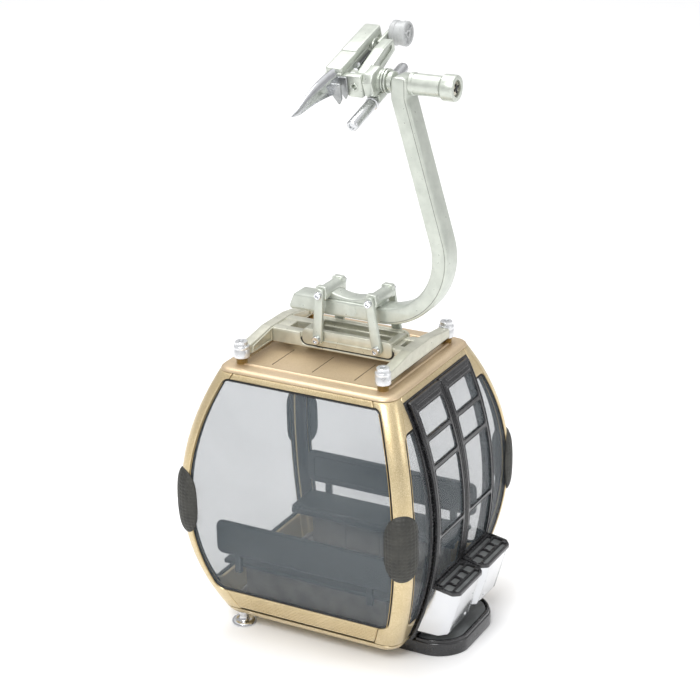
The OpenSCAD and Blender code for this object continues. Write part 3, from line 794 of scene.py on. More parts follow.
def make_bumpers():
    """Dimpled rubber pads that wrap the corners at the belt."""
    across, up = 56, 108
    middle = HALF_W - CORNER + ARC / 2 - 0.5
    verts, faces = [], []
    for dome in (True, False):
        for v in spaced(-1, 1, up):
            points = [pad_point(u, v, dome) for u in spaced(-1, 1, across)]
            verts += [(middle + p, BELT + q, -h) for p, q, h in points]
    n = across + 1
    size = (up + 1) * n
    for j in range(up):
        for a in range(j * n, j * n + across):
            faces.append((a, a + 1, a + n + 1, a + n))
            faces.append((size + a, size + a + n, size + a + n + 1, size + a + 1))
    rim = list(range(n)) + [j * n + across for j in range(1, up + 1)]
    rim += [up * n + i for i in range(across - 1, -1, -1)] + [j * n for j in range(up - 1, 0, -1)]
    for a, b in zip(rim, rim[1:] + rim[:1]):
        faces.append((a, b, size + b, size + a))
    piece("corner_bumpers", wrap((verts, faces), BACK_CORNERS + DOOR_CORNERS), "bumper_rubber",
          nodes=["bumpers"],
          smooth=60)


# ---- Doors, ski racks and platform, built on the +X side and mirrored ----

SIDES = (("right", 1), ("left", -1))
LEAF_OUT = 1.05
STILE = 1.7
PANES = ((0.27, 0.453), (0.47, 0.735), (0.753, 0.845), (0.862, 0.957))  # shares of the leaf's height


def on_leaf(x, z, w):
    """Point of the right door leaf, w deep from its outer face."""
    return x, SIDE_R - HALF_W - math.sqrt((SIDE_R + LEAF_OUT - w) ** 2 - (z - BELT) ** 2), z


def leaf_part(outline, thick, edge, w0, back_edge=0.05, holes=()):
    return cut_up(panel(outline, thick, edge, back_edge, holes, w0=w0), 4, 1.5)


def make_doors():
    (x0, x1), (z0, z1) = span("door_frame_right", X), span("door_frame_right", Z)
    inner, outer = x0 + STILE, x1 - STILE
    panes = [(z0 + a * (z1 - z0), z0 + b * (z1 - z0)) for a, b in PANES]
    holes = [box_outline(inner, outer, a, b, 0.45, 4) for a, b in panes]
    leaf = [leaf_part(box_outline(x0 + 0.02, x1 - 0.02, z0, z1 - 0.02, 0.5, 4), 0.85, 0.28, 0.0, 0.1, holes)]
    for x in (x0 + 0.42, x1 - 0.75):
        leaf.append(leaf_part(box_outline(x, x + 0.33, z0 + 0.6, z1 - 0.6, 0.12, 3), 0.6, 0.14, -0.16))
    ledge, gap = 0.26, 0.06
    for (a, b), hole in zip(panes, holes):
        around = box_outline(inner - ledge, outer + ledge, a - ledge, b + ledge, 0.6, 4)
        leaf.append(leaf_part(around, 0.5, 0.12, -0.1, holes=[hole]))
    for z in (panes[3][1] + 0.55, panes[3][1] + 1.55):
        leaf.append(leaf_part(box_outline(inner + 0.2, outer - 0.2, z, z + 0.6, 0.28, 4), 0.6, 0.25, -0.26))
    leaf.append(leaf_part(box_outline(x0 - 0.17, x0 + 0.2, z0 + 0.2, z1 - 0.2, 0.02, 2), 0.4, 0.08, 0.25))
    leaf.append(leaf_part(box_outline(inner, outer, z0 + 1.4, panes[0][0] - 1.2, 0.8, 5), 0.6, 0.3, -0.2))
    glass = [leaf_part(box_outline(inner + gap, outer - gap, a + gap, b - gap, 0.4, 4), 0.5, 0.06, 0.28, 0.06)
             for a, b in panes]
    leaf, glass = mapped(joined(leaf), on_leaf), mapped(joined(glass), on_leaf)
    for side, sx in SIDES:
        body = "door_" + side
        piece(f"door_leaf_{side}", mirrored(leaf, sx), "black_plastic", body, ["door_frame_" + side])
        piece(f"door_panes_{side}", mirrored(glass, sx), "glass", body, ["door_glass_" + side])


def make_jambs():
    front = on_side(-1)
    heights = spaced(CAST_LOW, HEAD - 0.02, 24)
    outline = [(belt_x(JAMB_X - 2.6, z), z) for z in heights]
    outline += [(belt_x(JAMB_X - 0.06, z), z) for z in heights[::-1]]
    strip = mapped(cut_up(panel(outline, WALL - 0.1, 0.12, 0.1, w0=0.05), 3, 1.8), front)
    reach = belt_x(JAMB_X - 0.2, HEAD)
    top = cut_up(panel(box_outline(-reach, reach, HEAD - 2.0, HEAD - 0.02), 0.9, 0.1, 0.1, w0=0.05), 3, 1)
    piece("door_jamb_strips", joined([both(strip), mapped(top, front)]), "black_plastic",
          nodes=["door_jambs"])


RACK_TILT = math.tan(math.radians(10))
RACK_LEAN = 3.6


def rack_plate():
    """The rack's holed plate and its floor, from outlines with y counted outward."""
    x0, x1 = span("rack_grid_right", X)
    outer, inner = [-y for y in span("rack_grid_right", Y)]
    depth, middle = outer - inner, (inner + outer) / 2
    thick, rim = 0.8, 0.3

    def on_plate(x, y, w):
        return x, -y, low("rack_grid_right", Z) + (outer - y) * RACK_TILT + thick - w
    slot, cell = depth * 0.19, depth * 0.36
    holes = [box_outline(x0 + 1.7, x1 - 1.7, y, y + slot, 0.5, 4)
             for y in (inner + depth * 0.09, outer - depth * 0.10 - slot)]
    for k in range(4):
        x = x0 + (x1 - x0) * (0.16 + 0.227 * k)
        half_x, half_y = cell * 0.72, cell / 2
        holes.append(box_outline(x - half_x, x + half_x, middle - half_y, middle + half_y, 0.55, 4))
    outline = rounded([(x0, inner, 0.5), (x1, inner, 0.5), (x1, outer - 1.5, 1.2), (x1 - 1.7, outer, 1.2),
                       (x0 + 1.7, outer, 1.2), (x0, outer - 1.5, 1.2)])
    parts = [panel(outline, thick, 0.2, 0.15, holes)]
    for hole in holes:
        hole = anticlockwise(hole)
        parts.append(panel(inset(hole, -0.22), rim, 0.1, 0.02, [hole], w0=-0.14))
    edge = anticlockwise(outline)
    parts.append(panel(inset(edge, 0.02), rim, 0.1, 0.02, [inset(edge, 0.5)], w0=-0.12))
    return mapped(joined(parts), on_plate), mapped(panel(inset(edge, 0.5), 0.2, 0.02, 0.02, w0=0.62),
                                                   on_plate)


def rack_box():
    """The chamfered box under the plate, against the leaf, with its fold lines and rivets."""
    x0, x1 = span("ski_rack_right", X)
    foot, top = low("ski_rack_right", Z), low("rack_grid_right", Z)
    reach = -span("ski_rack_right", Y)[0]
    inner = -span("rack_grid_right", Y)[1]

    def front(t):
        """The front face's y and z at a share t of the rack's height."""
        return reach - RACK_LEAN * (1 - t), foot + (top - foot) * t

    def level(t, shrink):
        y, z = front(t)
        y -= shrink
        loop = rounded([(x0 + shrink, inner - 0.3, 0.1), (x1 - shrink, inner - 0.3, 0.1),
                        (x1 - shrink, y - 1.9, 0.4),
                        (x1 - 2.0, y, 0.4), (x0 + 2.0, y, 0.4), (x0 + shrink, y - 1.9, 0.4)], 3)
        points = []
        for x, y in loop:
            height = z + (RACK_TILT * (reach - y) if t >= 1 else 0)
            leaf = -on_leaf(x, height, -0.06)[1]
            points.append((x, -max(y, leaf) if y > inner else -leaf, height))
        return points

    def fold(x, t):
        y, z = front(t)
        return [(x + a, b - y - 0.03, z) for a, b in ((0, 0), (0.2, 0), (0.2, 0.2), (0, 0.2))]
    shapes = [loft([level(0, 0.9), level(0.012, 0.45), level(0.045, 0.12), level(0.1, 0.0), level(0.5, 0.0),
                    level(1, 0.0)])]
    rivet = along_y(lathe([(0.0, 0), (0.42, 0), (0.42, 0.12), (0.28, 0.2), (0.0, 0.2)], 16))
    for x, t in ((x0 + 3.1, 0.62), (x0 + 5.2, 0.2)):
        y, z = front(t)
        shapes.append(moved(rivet, x, -y - 0.08, z))
    shapes += [loft([fold(x, 0.06), fold(x, 0.98)]) for x in (x0 + 2.75, x1 - 2.95)]
    return joined(shapes)


def make_racks():
    plate, floor = rack_plate()
    box = rack_box()
    for side, sx in SIDES:
        door = "door_" + side
        piece(f"rack_plate_{side}", mirrored(plate, sx), "black_plastic", door, ["rack_grid_" + side])
        piece(f"rack_plate_floor_{side}", mirrored(floor, sx), "grid_floor_and_painted_reflection", door)
        piece(f"rack_box_{side}", mirrored(box, sx), "rack_metal", door, ["ski_rack_" + side], smooth=28)


def make_platform():
    half, top = high("door_sill", X), high("door_sill", Z)
    front, back = span("door_sill", Y)

    def outline(shrink, bow=1.6):
        x, y = half - shrink, front + shrink
        points = rounded([(-x, back, 0), (-x, y + bow, 7.4), (x, y + bow, 7.4), (x, back, 0)], 14)
        return [(a, b - bow * (1 - (a / x) ** 2)) if b < back - 3 else (a, b) for a, b in points]

    def clear_of_doors(shape):
        clear = side_at(FLOOR) + LEAF_OUT + 0.4
        return [(x, min(y, -clear), z) for x, y, z in shape[0]], shape[1]
    rim = anticlockwise(outline(0.25))
    base = up_z(0.0, FLOOR - 0.3, outline(0.0), 0.45, back_edge=0.35)
    step = up_z(FLOOR - 0.6, FLOOR + 0.05, outline(1.3), 0.25)
    lip = clear_of_doors(up_z(FLOOR - 0.5, top, rim, 0.3, [inset(rim, 0.75)], 0.05))
    # Grey plate inside the platform's lip: painted reflection, the grey sheen of the glossy black top, not a
    # separate tread.
    piece("platform_painted_reflection", clear_of_doors(up_z(FLOOR - 0.1, FLOOR + 0.22, inset(rim, 1.1), 0.1)),
          "grid_floor_and_painted_reflection")
    piece("door_platform", joined([base, step, lip]), "black_plastic", nodes=["door_sill"])


def make_feet():
    radius = 3.3
    x, y = high("feet", X) - radius, span("feet", Y)[1] - radius
    profile = [(0, 0), (2.7, 0), (3.15, 0.15), (radius, 0.45), (3.2, 0.8), (2.9, 1.05), (2.3, 1.2),
               (1.9, 1.05),
               (1.5, 1.0), (1.25, 1.3), (1.15, 2.2), (1.3, 3.2), (1.5, FLOOR), (0, FLOOR)]
    piece("turned_feet", both(moved(lathe(profile), x, y)), "chrome", nodes=["feet"])


# ---- Inside ----

def make_benches():
    z0, z1 = span("seat_cushions", Z)
    half = (high("seat_cushions", Y) - low("seat_cushions", Y)) / 2
    out = high("seat_cushions", X)
    nose = out - 11.0
    back = out + 1.6
    seat = [(nose, z1 - 1.5, 0.5), (nose + 0.4, z1 - 0.2, 0.5), (out, z1 - 0.2, 0.2), (out, z1 - 1.4, 0.2)]
    lip = box_outline(nose - 0.1, nose + 0.9, z1 - 2.6, z1 - 0.9, 0.3)
    piece("bench_seats", both(across_y(-half, half, rounded(seat), 0.3), across_y(-half, half, lip, 0.2)),
          "seat_plastic", nodes=["seat_cushions"])
    groove = box_outline(-half + 0.8, half - 0.8, z1 + 3.6, z1 + 10.2, 1.2, 5)
    backs = [across_x(out + 0.1, back, box_outline(-half - 1, half + 1, z1 + 2.2, z1 + 11.5, 1.8, 6), 0.5),
             across_x(out - 0.12, out + 0.3, groove, 0.2, [inset(clean(groove), 0.4)])]
    for y in (-half + 5, half - 6):
        backs.append(block(out + 0.3, back - 0.1, y, y + 1.6, z0, z1 + 3))
    piece("bench_backs", both(*backs), "seat_plastic", nodes=["seat_backs"])
    x, y = high("seat_pedestals", X), span("seat_pedestals", Y)[1]
    z0, z1 = span("seat_pedestals", Z)
    pedestal = [block(x - 3, x, -y, y, z0, z1, 0.3, 0.6)]
    for rib in (-y * 0.5, 0.0, y * 0.5):
        pedestal.append(block(x - 3.25, x - 2.8, rib - 0.35, rib + 0.35, z0, z1 - 0.4, 0.15))
    piece("bench_pedestals", both(*pedestal), "tray_plastic", nodes=["seat_pedestals"])


def make_tray():
    x, y = high("floor_tray", X), span("floor_tray", Y)[1]
    z0, z1 = span("floor_tray", Z)
    profile = ((0.3, 3, z0), (0.05, 3, z1 - 0.2), (0.2, 3, z1), (1.0, 2.6, z1), (1.2, 2.5, z1 - 0.3),
               (1.3, 2.4, z0 + 0.9), (1.9, 2.2, z0 + 0.8))
    shapes = [loft([ring(x - back, y - back, r, z) for back, r, z in profile])]
    for k in range(-6, 7):
        shapes.append(block(k * 1.7 - 0.25, k * 1.7 + 0.25, -y + 4, y - 4, z0 + 0.7, z0 + 1.0, 0.12, 0.2))
    piece("floor_tray_moulded", joined(shapes), "tray_plastic", nodes=["floor_tray"])


# ---- Roof gear ----

ARM_WIDTH = 6.0
ARM_DEPTH = 4.3
BEND_R = 16.4
LEAN = math.radians(16)
STEM_R = 1.5


def arc_points(cy, cz, r, start, end, steps=28):
    """Points of an arc in (y, z), angles in degrees from +Y."""
    turns = [math.radians(a) for a in spaced(start, end, steps)]
    return [(cy + r * math.cos(t), cz + r * math.sin(t), 0) for t in turns]


def arm_contour(out, cap_r=1.3, below_top=0.0):
    """Contour in (y, z), `out` outside the arm's middle line, from the bend's start up to the head."""
    half = ARM_DEPTH / 2
    bend_y = span("hanger_arm", Y)[0] + BEND_R + half
    bend_z = low("hanger_arm", Z) + half + BEND_R
    arc = arc_points(bend_y, bend_z, BEND_R + out, -90, -180 - math.degrees(LEAN))
    y, z, _ = arc[-1]
    y_head = HEAD_Y - out
    knee_z = z + (y_head - y) / math.tan(LEAN)
    return arc + [(y_head, knee_z, 3.0), (y_head, high("hanger_arm", Z) - below_top, cap_r)]


def make_hanger():
    half, depth = ARM_WIDTH / 2, ARM_DEPTH / 2
    back, bottom = span("hanger_arm", Y)[1], low("hanger_arm", Z)
    outer = [(back, bottom, 0.8)] + arm_contour(depth)
    inner = [(back - 1.8, bottom + ARM_DEPTH, 0.8)] + arm_contour(-depth)
    outline = rounded(outer + inner[::-1], 6)
    arm = across_x(-half, half, outline, 0.55)
    piece("hanger_arm_cast", arm, "hanger_metal", nodes=["hanger_arm"], smooth=30)
    near, far = [rounded(arm_contour(depth - d, 0, 0.5), 6) for d in (0.62, 0.80)]
    piece("hanger_arm_seams", both(across_x(half - 0.1, half + 0.012, near + far[::-1], 0.005)), "seam_grey")
    disc = [(0, 0), (1.45, 0), (1.45, 0.07), (1.3, 0.1), (1.15, 0.07), (1.1, 0.03), (0, 0.03)]
    mark = moved(along_x(lathe(disc, 36)), -half - 0.08, -3.6, bottom + ARM_DEPTH / 2)
    piece("hanger_round_mark", both(mark), "hanger_metal")
    y0, y1 = span("axle_sleeve", Y)
    sleeve = [(0, y0), (2.45, y0), (2.6, y0 + 0.15), (2.6, y1 - 0.9), (2.75, y1 - 0.75), (2.75, y1), (0, y1)]
    piece("axle_sleeve_turned", moved(along_y(lathe(sleeve)), 0, 0, PIVOT_Z), "hanger_metal",
          nodes=["axle_sleeve"])


def bolt_head(r, h):
    """Round head with a recess, its base at zero."""
    return lathe([(0, 0), (r, 0), (r, h * 0.6), (r * 0.85, h), (r * 0.55, h), (r * 0.5, h * 0.55),
                  (0, h * 0.5)], 36)


def cross(a, b, depth):
    """Cross-shaped bar that fills a screw's recess, its arms a long and b wide to each side."""
    points = [(-b, -a), (b, -a), (b, -b), (a, -b), (a, b), (b, b), (b, a), (-b, a), (-b, b), (-a, b),
              (-a, -b), (-b, -b)]
    return up_z(0, depth, points, 0.04)


def make_roof_frame():
    z0, z1 = span("roof_frame", Z)
    stem_x, stem_y = high("roof_stems", X) - STEM_R, span("roof_stems", Y)[1] - STEM_R
    low_top, mid_top = z0 + 2.8, z0 + 4.1
    wing = rounded([(-stem_x, z0, 0.2), (stem_x, z0, 0.2), (stem_x, low_top - 0.2, 0.3),
                    (11.5, low_top + 0.35, 4), (5.2, mid_top, 1.5), (-5.2, mid_top, 1.5),
                    (-11.5, low_top + 0.35, 4), (-stem_x, low_top - 0.2, 0.3)])
    inner = stem_y - STEM_R
    beams = [across_y(y - STEM_R, y + STEM_R, wing, 0.4) for y in (-stem_y, stem_y)]
    piece("roof_frame_beams", joined(beams), "frame_metal", nodes=["roof_frame"])
    pocket = [(5.6, z0 + 0.7), (14.5, z0 + 0.7), (14.2, low_top - 1.0), (5.6, mid_top - 0.8)]
    rim = across_y(inner - 0.3, inner + 0.1, inset(pocket, -0.35), 0.12, [pocket])
    piece("roof_frame_pockets", both(across_y(inner - 0.05, inner + 0.1, pocket, 0.02), rim), "frame_metal")
    side_x, side_in = high("cradle", X), 2.1
    y0, y1 = span("cradle", Y)
    foot = rounded([(-stem_y + 1, z0 + 0.02, 0.3), (stem_y - 1, z0 + 0.02, 0.3), (stem_y - 1, z1 - 0.4, 0.3),
                    (y1 + 0.55, z1 - 0.4, 0.1), (y1 + 0.55, z0 + 0.55, 1.9), (y0 - 0.55, z0 + 0.55, 1.9),
                    (y0 - 0.55, z1 - 0.4, 0.1), (-stem_y + 1, z1 - 0.4, 0.3)], 6)
    parts = [both(block(side_in, side_x - 0.5, -stem_y, stem_y, z0, z1 - 0.3, 0.35),
                  across_x(side_x - 0.9, side_x - 0.02, foot, 0.18))]
    bridge = side_in + 0.2
    for b0, b1 in ((-stem_y, -stem_y + 2.2), (stem_y - 5.0, stem_y), (-16.6, -13.2), (9.0, 11.0)):
        parts.append(block(-bridge, bridge, b0, b1, z0, z1 - 0.5, 0.25))
    parts.append(block(-bridge, bridge, -13.4, 9.2, z0, z0 + 1.2, 0.1))
    piece("roof_frame_rails", joined(parts), "frame_metal")


def make_cradle():
    side_x, (y0, y1), (z0, z1) = high("cradle", X), span("cradle", Y), span("cradle", Z)
    rib = box_outline(y0 + 3.4, y1 - 3.6, z0 + 1.7, z0 + 2.1, 0.15, 3)
    cheek = box_outline(y0 + 0.05, y1 - 0.05, z0 + 0.3, z1, 1.4, 6)
    plates = [both(across_x(side_x - 0.8, side_x, cheek, 0.2),
                   block(side_x - 1.9, side_x - 0.3, y0 + 1.4, y1 - 1.2, z1 - 1.6, z1 - 0.15, 0.2),
                   across_x(side_x - 0.5, side_x + 0.28, rib, 0.12))]
    for y in (y0 + 0.4, y1 - 2.4):
        plates.append(block(-side_x + 1, side_x - 1, y, y + 1.9, z1 - 1.5, z1 - 0.25, 0.25))
    piece("cradle_plates", joined(plates), "frame_metal", nodes=["cradle"])
    groove = box_outline(y0 - 0.5, y1 + 0.5, z0 - 0.3, z1 - 1.6, 1.8, 6)
    piece("cradle_grooves", both(across_x(side_x - 0.75, side_x - 0.3, groove, 0.02)), "gasket_and_recess_shade")


def link_outline(a, b):
    """Outline of a link bar in (y, z), from its foot's bolt a to its head's bolt b."""
    along = (b - a).normalized()
    side = Vector((-along.y, along.x))
    foot, head = side * 1.35, side * 1.15
    corners = ((a - along * 1.3 - foot, 1.1), (a - along * 1.3 + foot, 1.1), (a + foot, 3),
               (b + head - along * 0.4, 3), (b + along * 1.5 + head, 0.9), (b + along * 1.5 - head, 0.9),
               (b - head - along * 0.4, 3), (a - foot, 3))
    return rounded([(p.x, p.y, r) for p, r in corners])


def make_links():
    tube_z = (low("cross_tubes", Z) + high("cross_tubes", Z)) / 2
    link_z = low("link_bolts", Z) + 1.3
    x0, x1 = high("cradle", X) + 0.1, high("link_bars", X)
    tube = along_x(lathe([(0, -x0), (1.5, -x0), (1.7, -x0 + 0.2), (1.7, x0 - 0.2), (1.5, x0), (0, x0)]))
    bars, bolts, tubes = [], [], []
    for y_low, y_top in ((4.7, 3.8), (-12.2, -10.3)):
        a, b = Vector((y_low, link_z)), Vector((y_top, tube_z))
        bars.append(across_x(x0, x1, link_outline(a, b), 0.3))
        bolts += [moved(along_x(bolt_head(r, 0.85)), x1, p.x, p.y) for p, r in ((a, 1.15), (b, 1.0))]
        lug = box_outline(y_top - 1.55, y_top + 1.55, tube_z - 1.5, tube_z + 1.95, 0.6, 4)
        tubes += [moved(tube, 0, y_top, tube_z), both(across_x(x0 - 1.7, x0 + 0.05, lug, 0.25))]
    piece("suspension_links", both(*bars), "hanger_metal", nodes=["link_bars"])
    piece("suspension_bolts", both(*bolts), "chrome", nodes=["link_bolts"])
    piece("suspension_tubes", joined(tubes), "hanger_metal", nodes=["cross_tubes"])
    (y0, y1), (z0, z1) = span("saddle", Y), span("saddle", Z)
    mid, half = (y1 + y0) / 2, (y1 - y0) / 2 - 3.2
    dish = [(y, z0 + 0.75 + 1.5 * ((y - mid) / half) ** 2, 0) for y in spaced(y1 - 3.4, y0 + 3.4, 14)]
    outline = rounded([(y0, z0 - 0.2, 0.3), (y1, z0 - 0.2, 0.3), (y1 - 0.4, z1 + 0.2, 0.8)] + dish
                      + [(y0 + 0.4, z1 + 0.2, 0.8)], 4)
    piece("suspension_saddle", across_x(-2.4, 2.4, outline, 0.35), "hanger_metal", nodes=["saddle"])


# ---- Grip, in its own level frame: X along the rope, Y along the axle from the arm's head ----

def grip_span(node):
    """Start and end of a grip node along its axle."""
    return [y - HEAD_Y for y in span(node, Y)]


def grip_piece(name, shapes, material, node=None, body="grip", smooth=38):
    piece(name, mapped(joined(shapes), on_grip), material, body, [node] if node else (), smooth)


def turned_part(profile, n=40, x=0.0, z=0.0):
    """Turned shape along Y from [radius, y] pairs."""
    return moved(along_y(lathe(profile, n)), x, 0, z)


def make_axle():
    y0, y1 = grip_span("axle_cap")
    cap = [(0, y1), (3.0, y1), (3.2, y1 - 0.25), (3.2, y0 + 0.35), (3.05, y0 + 0.05), (2.9, y0), (2.1, y0),
           (2.0, y0 + 0.12), (2.0, y0 + 0.9), (0, y0 + 0.9)]
    grip_piece("axle_cap_turned", [turned_part(cap)], "hanger_metal", "axle_cap")
    screw = [(0, y0 + 0.95), (1.75, y0 + 0.95), (1.75, y0 + 0.55), (1.5, y0 + 0.4), (0, y0 + 0.35)]
    grip_piece("axle_screw", [turned_part(screw)], "screw")
    # Near-black cross standing on the screw's face: painted shade for its cross recess, which has no hollow
    # of its own.
    slot = mapped(cross(1.15, 0.24, 0.25), lambda a, b, c: (a, y0 + 0.42 - c, b))
    grip_piece("axle_screw_recess_shade", [slot], "gasket_and_recess_shade")
    y0, y1 = grip_span("grip_pin")
    grip_piece("grip_pin_turned", [turned_part([(0, y0), (1.2, y0), (1.2, y1), (0, y1)])], "chrome",
               "grip_pin")


def make_grip_body():
    collars = [(0, 2.45), (2.3, 2.45), (2.45, 2.6), (2.45, 3.5), (2.1, 3.55), (2.1, 3.8), (2.95, 3.85),
               (2.95, 4.25),
               (2.2, 4.3), (2.2, 4.55), (2.95, 4.6), (2.95, 5.0), (2.2, 5.05), (2.2, 5.3), (2.75, 5.35),
               (2.75, 6.4),
               (0, 6.4)]
    clamp = rounded([(-4.6, -2.0, 0.7), (-3.0, -2.9, 0.9), (1.2, -2.7, 1.0), (2.2, -1.0, 1.0),
                     (2.2, 2.2, 1.0),
                     (0.6, 3.5, 1.0), (-3.6, 3.5, 0.9), (-5.0, 1.6, 0.8)], 4)
    wing = rounded([(8.7, -2.5, 0.6), (12.9, -2.5, 1.0), (13.6, -0.5, 0.6), (13.6, 3.3, 0.2),
                    (8.7, 3.3, 0.4)], 4)
    heel = rounded([(5.6, -4.9, 0.9), (9.1, -4.9, 0.9), (9.1, -2.5, 0.2), (5.6, -2.5, 0.2)], 4)
    stub = [(0, 8.6), (1.0, 8.6), (1.0, 12.1), (1.6, 12.15), (1.6, 12.6), (1.35, 12.8), (0, 12.8)]
    y, z = 10.9, 0.4
    grip_piece("grip_body_cast", [
        turned_part(collars, 48),
        across_y(6.0, 8.7, clamp, 0.35),
        across_y(8.6, 8.95, inset(anticlockwise(clamp), 0.6), 0.1),
        across_x(-5.0, -3.2, wing, 0.3, [circle(y, z, 0.62, 20)]),
        across_x(-5.12, -4.8, circle(y, z, 1.15), 0.12, [circle(y, z, 0.7, 20)]),
        block(-3.4, 9.0, 13.5, 17.2, 1.85, 3.3, 0.2),
        turned_part(stub, 28),
        across_x(-3.0, 1.0, heel, 0.25)], "hanger_metal", "grip_body", smooth=30)


def make_guide_plate():
    section = [(1.0, 13.2), (1.75, 13.2), (1.85, 13.35), (1.85, 13.9), (1.75, 14.05), (1.0, 14.05),
               (1.0, 13.2)]
    eye = loft([[(x, y, h) for x, y in circle(0, 0, r, 28)] for r, h in section], False)
    plate = [up_z(3.25, 4.95, box_outline(-5.0, 16.45, 13.5, 18.0, 0.7), 0.3),
             up_z(4.7, 5.2, box_outline(3.2, 16.45, 13.62, 17.88, 0.7), 0.25),
             block(15.1, 16.45, 13.6, 17.9, 1.7, 3.9, 0.4, 0.4),
             block(-5.5, -3.0, 13.55, 17.95, 1.5, 3.9, 0.3, 0.3)]
    plate += [block(x, x + 0.55, 13.6, 15.0, 0.5, 3.5, 0.15) for x in (9.8, 11.4, 13.0)]
    grip_piece("guide_plate_milled", plate + [moved(along_y(eye), 12.2, 0, 1.9)], "hanger_metal",
               "guide_plate")
    pitch = 0.8
    teeth = [block(2.75 + k * pitch, 3.2 + k * pitch, 12.45, 12.8, 0.9, 2.3, 0.1) for k in range(8)]
    grip_piece("jaw_strip", [block(2.6, 9.2, 12.7, 13.5, 0.7, 2.2, 0.15)] + teeth, "steel_dark")
    stud = [(0, 12.2), (0.7, 12.25), (1.0, 12.5), (1.0, 13.4), (0, 13.4)]
    grip_piece("jaw_stud", [turned_part(stud, 6, 1.4, 2.2)], "chrome")


def make_rope_gear():
    rod = [(0, -14.2), (0.7, -14.2), (0.8, -14.55), (1.2, -14.6), (1.4, -14.4), (1.45, -14.0), (1.45, -4.2),
           (1.7, -4.1), (1.7, -3.4), (1.45, -3.3), (1.45, 12.6), (1.3, 13.4), (0.9, 14.0), (0, 14.3)]
    rod_y, rod_z = grip_span("spring_rod")[0] + 1.45, -4.3
    grip_piece("spring_rod_polished", [moved(along_x(lathe(rod)), 0, rod_y, rod_z)], "rod_chrome",
               "spring_rod")
    blades = []
    for x, lift in ((-5.9, 0.0), (-9.2, 0.5)):
        outline = rounded([(12.0, 3.3, 0.3), (15.4, 3.3, 0.3), (15.2, 0.4 + lift, 0.8),
                           (13.2, -3.0 + lift, 0.25),
                           (12.3, -1.0, 1.0)])
        blades.append(across_x(x, x + 0.75, outline, 0.25))
    grip_piece("rope_flange_blades", blades, "steel_mid", "rope_flanges")
    grip_piece("entry_scoop_pressed", [scoop()], "chrome", "entry_scoop", smooth=50)


def make_lever():
    arm = rounded([(-1.9, -1.4, 1.2), (1.6, -2.0, 1.2), (13.6, 0.2, 0.6), (13.9, 3.2, 0.6), (8.5, 3.3, 2.0),
                   (-1.2, 1.9, 1.2)])
    pocket = rounded([(5.2, 0.2, 0.5), (12.4, 1.1, 0.5), (12.5, 2.5, 0.5), (5.4, 1.9, 0.5)], 4)
    fork = rounded([(12.0, 0.4, 0.4), (19.0, 0.5, 1.3), (20.3, 1.8, 1.2), (19.0, 3.1, 1.3), (12.0, 3.2, 0.4)])
    grip_piece("jaw_lever_milled", [across_y(9.55, 12.0, arm, 0.25), across_y(9.0, 9.75, arm, 0.25, [pocket]),
                                    across_y(12.0, 12.8, fork, 0.2),
                                    block(3.05, 6.95, 12.0, 16.6, -0.75, 1.55, 0.25)],
               "hanger_metal", "jaw_lever", "lever", smooth=30)
    x, z = 19, 1.8
    y0, end = grip_span("roller")
    y1 = y0 + 4.2
    wheel = [(0, y0 + 0.45), (0.55, y0 + 0.45), (0.65, y0 + 0.05), (1.0, y0), (1.15, y0 + 0.3),
             (2.3, y0 + 0.35),
             (2.45, y0 + 0.02), (2.85, y0), (3.1, y0 + 0.25), (3.1, y0 + 1.3), (2.95, y0 + 1.4),
             (2.95, y0 + 2.8),
             (3.1, y0 + 2.9), (3.1, y1 - 0.25), (2.85, y1), (0.8, y1), (0.8, end), (0, end)]
    shapes = [turned_part(wheel, 18, x, z)]
    for k in range(3):
        turn = 2 * math.pi * k / 3 + 0.4
        c, s = math.cos(turn), math.sin(turn)
        shapes.append(mapped(block(0.9, 2.5, -0.22, 0.22, 0.0, 0.35, 0.08),
                             lambda a, b, h: (x + a * c - b * s, y0 + 0.02 + h, z + a * s + b * c)))
    grip_piece("lever_roller", shapes, "roller_plastic", "roller", "roller", smooth=24)


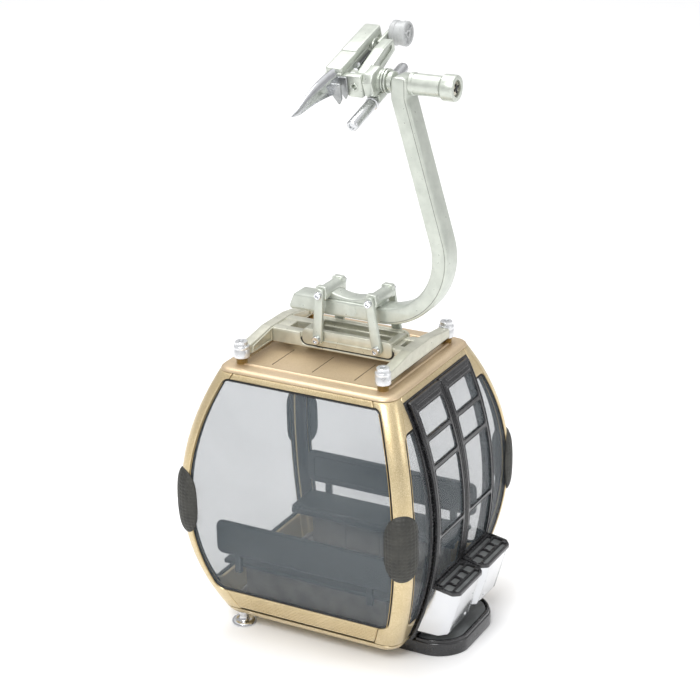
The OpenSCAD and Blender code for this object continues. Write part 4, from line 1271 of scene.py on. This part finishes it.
def scoop():
    """Pointed gutter that leads the rope into the grip."""
    root, length, top, deep, middle = -5.0, 21.2, 4.95, 5.3, 15.7
    turns = [math.radians(a) for a in spaced(-95, 95, 16)]
    loops = []
    for t in spaced(0, 1, 26):
        size = (1 - t) ** 0.8
        ridge = top + 0.95 * math.sin(math.pi * min(t * 1.15, 1)) - 0.6 * t
        tall = deep * size * (0.6 + 0.4 * min(t / 0.16, 1)) + 0.2
        wide = 1.5 * min((1 - t) / 0.76, 1) ** 0.8 + 0.1
        skin = 0.4 * max(size, 0.2)
        loop = []
        for thin, around in ((0, turns), (skin, turns[::-1])):
            loop += [(root - length * t, middle + max(wide - thin, 0.02) * math.sin(turn),
                      ridge - tall + max(tall - thin, 0.02) * math.cos(turn)) for turn in around]
        loops.append(loop)
    return loft(loops)


def make_stems():
    x, y = high("roof_stems", X) - STEM_R, span("roof_stems", Y)[1] - STEM_R
    places = [(sx * x, sy * y) for sx in (-1, 1) for sy in (-1, 1)]
    thread = [(0, ROOF - 0.05), (1.45, ROOF - 0.05), (1.45, ROOF + 0.1)]
    for k in range(6):
        thread += [(1.22, ROOF + 0.15 + k * 0.26), (1.45, ROOF + 0.28 + k * 0.26)]
    thread += [(1.3, ROOF + 1.7), (0, ROOF + 1.7)]
    z0, z1 = low("roof_frame", Z) - 0.15, high("stem_caps", Z)
    cap = [(0, z0), (1.8, z0), (2.0, z0 + 0.2), (2.0, z1 - 2.1), (1.93, z1 - 2.0), (1.93, z1 - 1.9),
           (2.0, z1 - 1.8),
           (2.0, z1 - 1.3), (1.9, z1 - 1.15), (1.68, z1 - 1.1), (1.62, z1 - 1.0), (1.62, z1 - 0.15),
           (1.5, z1),
           (0.75, z1), (0.66, z1 - 0.08), (0.62, z1 - 0.7), (0, z1 - 0.7)]
    for name, profile, n, material, node in (("threaded_stems", thread, 24, "gold_dark", "roof_stems"),
                                             ("turned_stem_caps", cap, 40, "cap_chrome", "stem_caps")):
        piece(name, joined([moved(lathe(profile, n), *place) for place in places]), material, nodes=[node])


make_camera()
make_stage()
for make in (make_materials, make_castings, make_rails, make_floor_and_roof, make_windows, make_bumpers,
             make_doors,
             make_jambs, make_racks, make_platform, make_feet, make_benches, make_tray, make_roof_frame,
             make_cradle,
             make_links, make_hanger, make_axle, make_grip_body, make_guide_plate, make_rope_gear, make_lever,
             make_stems):
    make()
